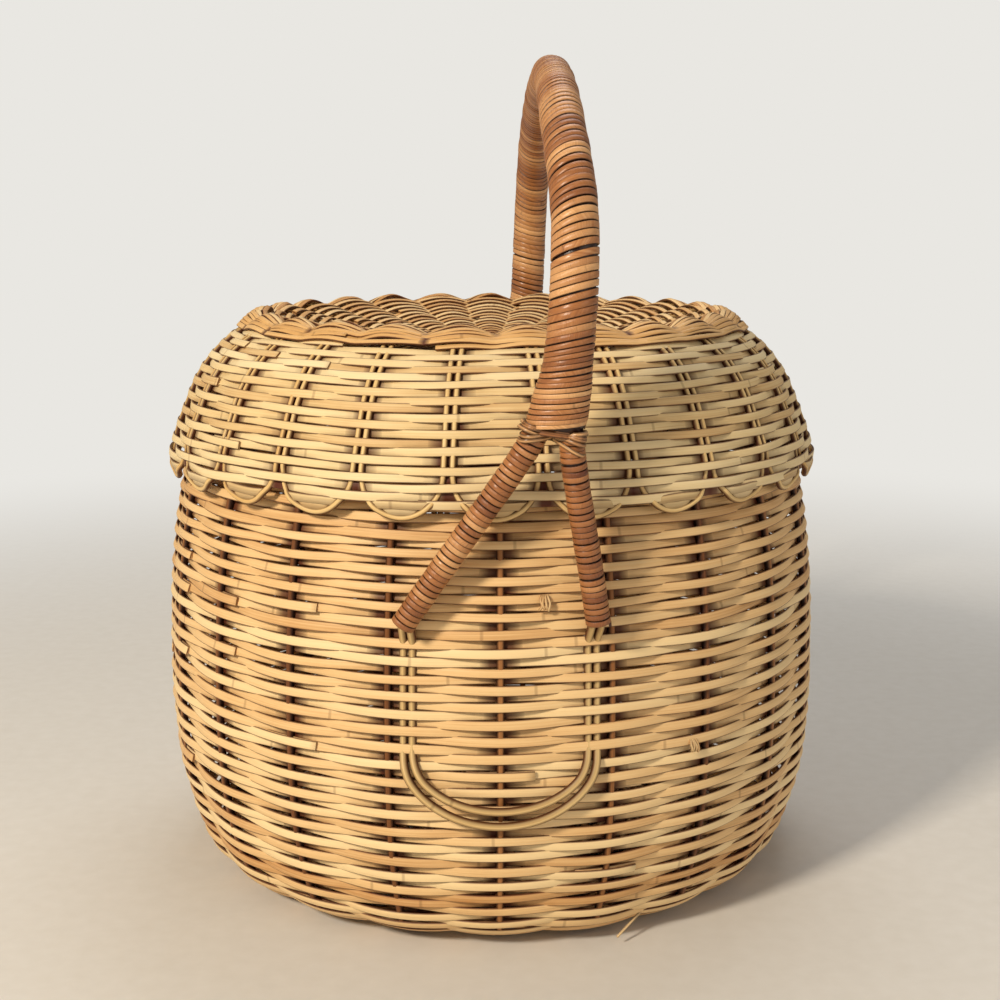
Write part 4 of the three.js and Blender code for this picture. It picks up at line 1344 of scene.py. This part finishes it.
@dataclass(frozen=True)
class Lamp:
    """A square soft lamp that faces the middle of the basket."""

    name: str
    place: Numbers
    size: float  # length of its side
    watts: float
    colour: str
    target: Numbers = (0.0, 0.0, 0.2)

    def hang(self) -> None:
        """Hangs it in its place."""
        lamp = bpy.data.lights.new(self.name, "AREA")
        lamp.size = self.size
        lamp.energy = self.watts
        lamp.color = linear(self.colour)[:3]
        holder = bpy.data.objects.new(self.name, lamp)
        holder.location = self.place
        toward = np.array(self.target) - np.array(self.place)
        level = math.hypot(toward[0], toward[1])
        holder.rotation_euler = (math.atan2(level, -toward[2]), 0.0, math.atan2(-toward[0], toward[1]))
        bpy.context.scene.collection.objects.link(holder)


@dataclass
class Studio:
    """A pale floor, a pale background, three soft lamps and the camera at the photograph's angle."""

    camera_place: Numbers = (0.0052, -0.9626, 0.3998)
    camera_pitch: float = 79.13  # degrees up from straight down
    lens: float = 56.448  # millimetres, like the sensor
    sensor: float = 36.0
    floor_half: float = 6.0  # half of its side
    floor_fade: Pair = (0.45, 1.5)  # distances between which the floor turns into the background
    plaster: tuple[str, str] = ("#DCD8D0", "#E6E3DD")
    plaster_roughness: float = 0.85
    grain_size: float = 1.0 / 90.0  # about 11 mm, drawn this coarse so that it shows
    background: str = "#E9E7E2"
    world_light: str = "#F4EFE8"
    world_strength: float = 0.3
    lamps: tuple[Lamp, ...] = (
        Lamp("key_lamp", (-1.3, -1.7, 1.5), 0.34, 49.0, "#FFF1DC"),
        Lamp("fill_lamp", (1.8, -1.4, 0.9), 1.4, 7.0, "#FFF4E8"),
        Lamp("top_lamp", (0.2, 0.9, 2.0), 1.2, 12.0, "#FFFFFF"),
    )

    def lay_floor(self) -> None:
        """Lays a wide floor of fine, pale matt plaster."""
        half = self.floor_half
        corners = [(-half, -half, 0), (half, -half, 0), (half, half, 0), (-half, half, 0)]
        mesh = bpy.data.meshes.new("floor")
        mesh.from_pydata(corners, [], [(0, 1, 2, 3)])
        material = bpy.data.materials.new("Plaster, fine matt")
        material.use_nodes = True
        tree = material.node_tree
        add = partial(add_node, tree)
        shader = tree.nodes["Principled BSDF"]
        place = add("TexCoord", {}, "Object")
        grain = add("TexNoise", {"Vector": place, "Scale": 1.0 / self.grain_size, "Detail": 4.0})
        colour = add("ValToRGB", {"Fac": grain})
        for step, shade in zip(colour.node.color_ramp.elements, self.plaster):
            step.color = linear(shade)
        tree.links.new(colour, shader.inputs["Base Color"])
        shader.inputs["Roughness"].default_value = self.plaster_roughness
        away = add("VectorMath", {0: place}, "Value", operation="LENGTH")
        near, far = self.floor_fade
        fading = {"Value": away, "From Min": near, "From Max": far, "To Min": 0.0, "To Max": 1.0}
        fade = add("MapRange", fading, interpolation_type="SMOOTHSTEP")
        ray = add("LightPath", {}, "Is Camera Ray")
        seen = add("Math", {0: fade, 1: ray}, operation="MULTIPLY")
        paper = add("Emission", {"Color": linear(self.background), "Strength": 1.0})
        mixed = add("MixShader", {0: seen, 1: shader.outputs[0], 2: paper})
        tree.links.new(mixed, tree.nodes["Material Output"].inputs["Surface"])
        mesh.materials.append(material)
        floor = bpy.data.objects.new("floor", mesh)
        bpy.context.scene.collection.objects.link(floor)

    def light_world(self) -> None:
        """Lights the world with an even, faintly warm grey, and shows the camera a paler one."""
        world = bpy.data.worlds.new("studio")
        bpy.context.scene.world = world
        world.use_nodes = True
        tree = world.node_tree
        add = partial(add_node, tree)
        ray = add("LightPath", {}, "Is Camera Ray")
        dim = add("Background", {"Color": linear(self.world_light), "Strength": self.world_strength})
        seen = add("Background", {"Color": linear(self.background), "Strength": 1.0})
        mixed = add("MixShader", {0: ray, 1: dim, 2: seen})
        tree.links.new(mixed, tree.nodes["World Output"].inputs["Surface"])

    def set_camera(self) -> None:
        """Sets the camera where the photograph's vanishing lines and outline put it."""
        camera = bpy.data.cameras.new("camera")
        camera.sensor_width = self.sensor
        camera.lens = self.lens
        holder = bpy.data.objects.new("camera", camera)
        holder.location = self.camera_place
        holder.rotation_euler = (math.radians(self.camera_pitch), 0.0, 0.0)
        bpy.context.scene.collection.objects.link(holder)
        bpy.context.scene.camera = holder

    def build(self) -> None:
        """Sets up the whole studio."""
        bpy.context.scene.view_settings.view_transform = "Standard"
        self.lay_floor()
        self.light_world()
        for lamp in self.lamps:
            lamp.hang()
        self.set_camera()


def main() -> None:
    """Builds the studio and the basket's sub-assemblies in order."""
    logging.basicConfig(level=logging.INFO, format="%(name)s: %(message)s")
    Studio().build()
    body_reed, lid_reed, top_reed = BODY_REED.build(), LID_REED.build(), TOP_REED.build()
    stake_cane, lid_cane, binding = STAKE_CANE.build(), LID_CANE.build(), BINDING.build()
    BasketBody(body_reed, stake_cane).build()
    Lid(lid_reed, top_reed, lid_cane).build()
    BoundHandle(binding, lid_cane).build()


if __name__ == "__main__":
    main()
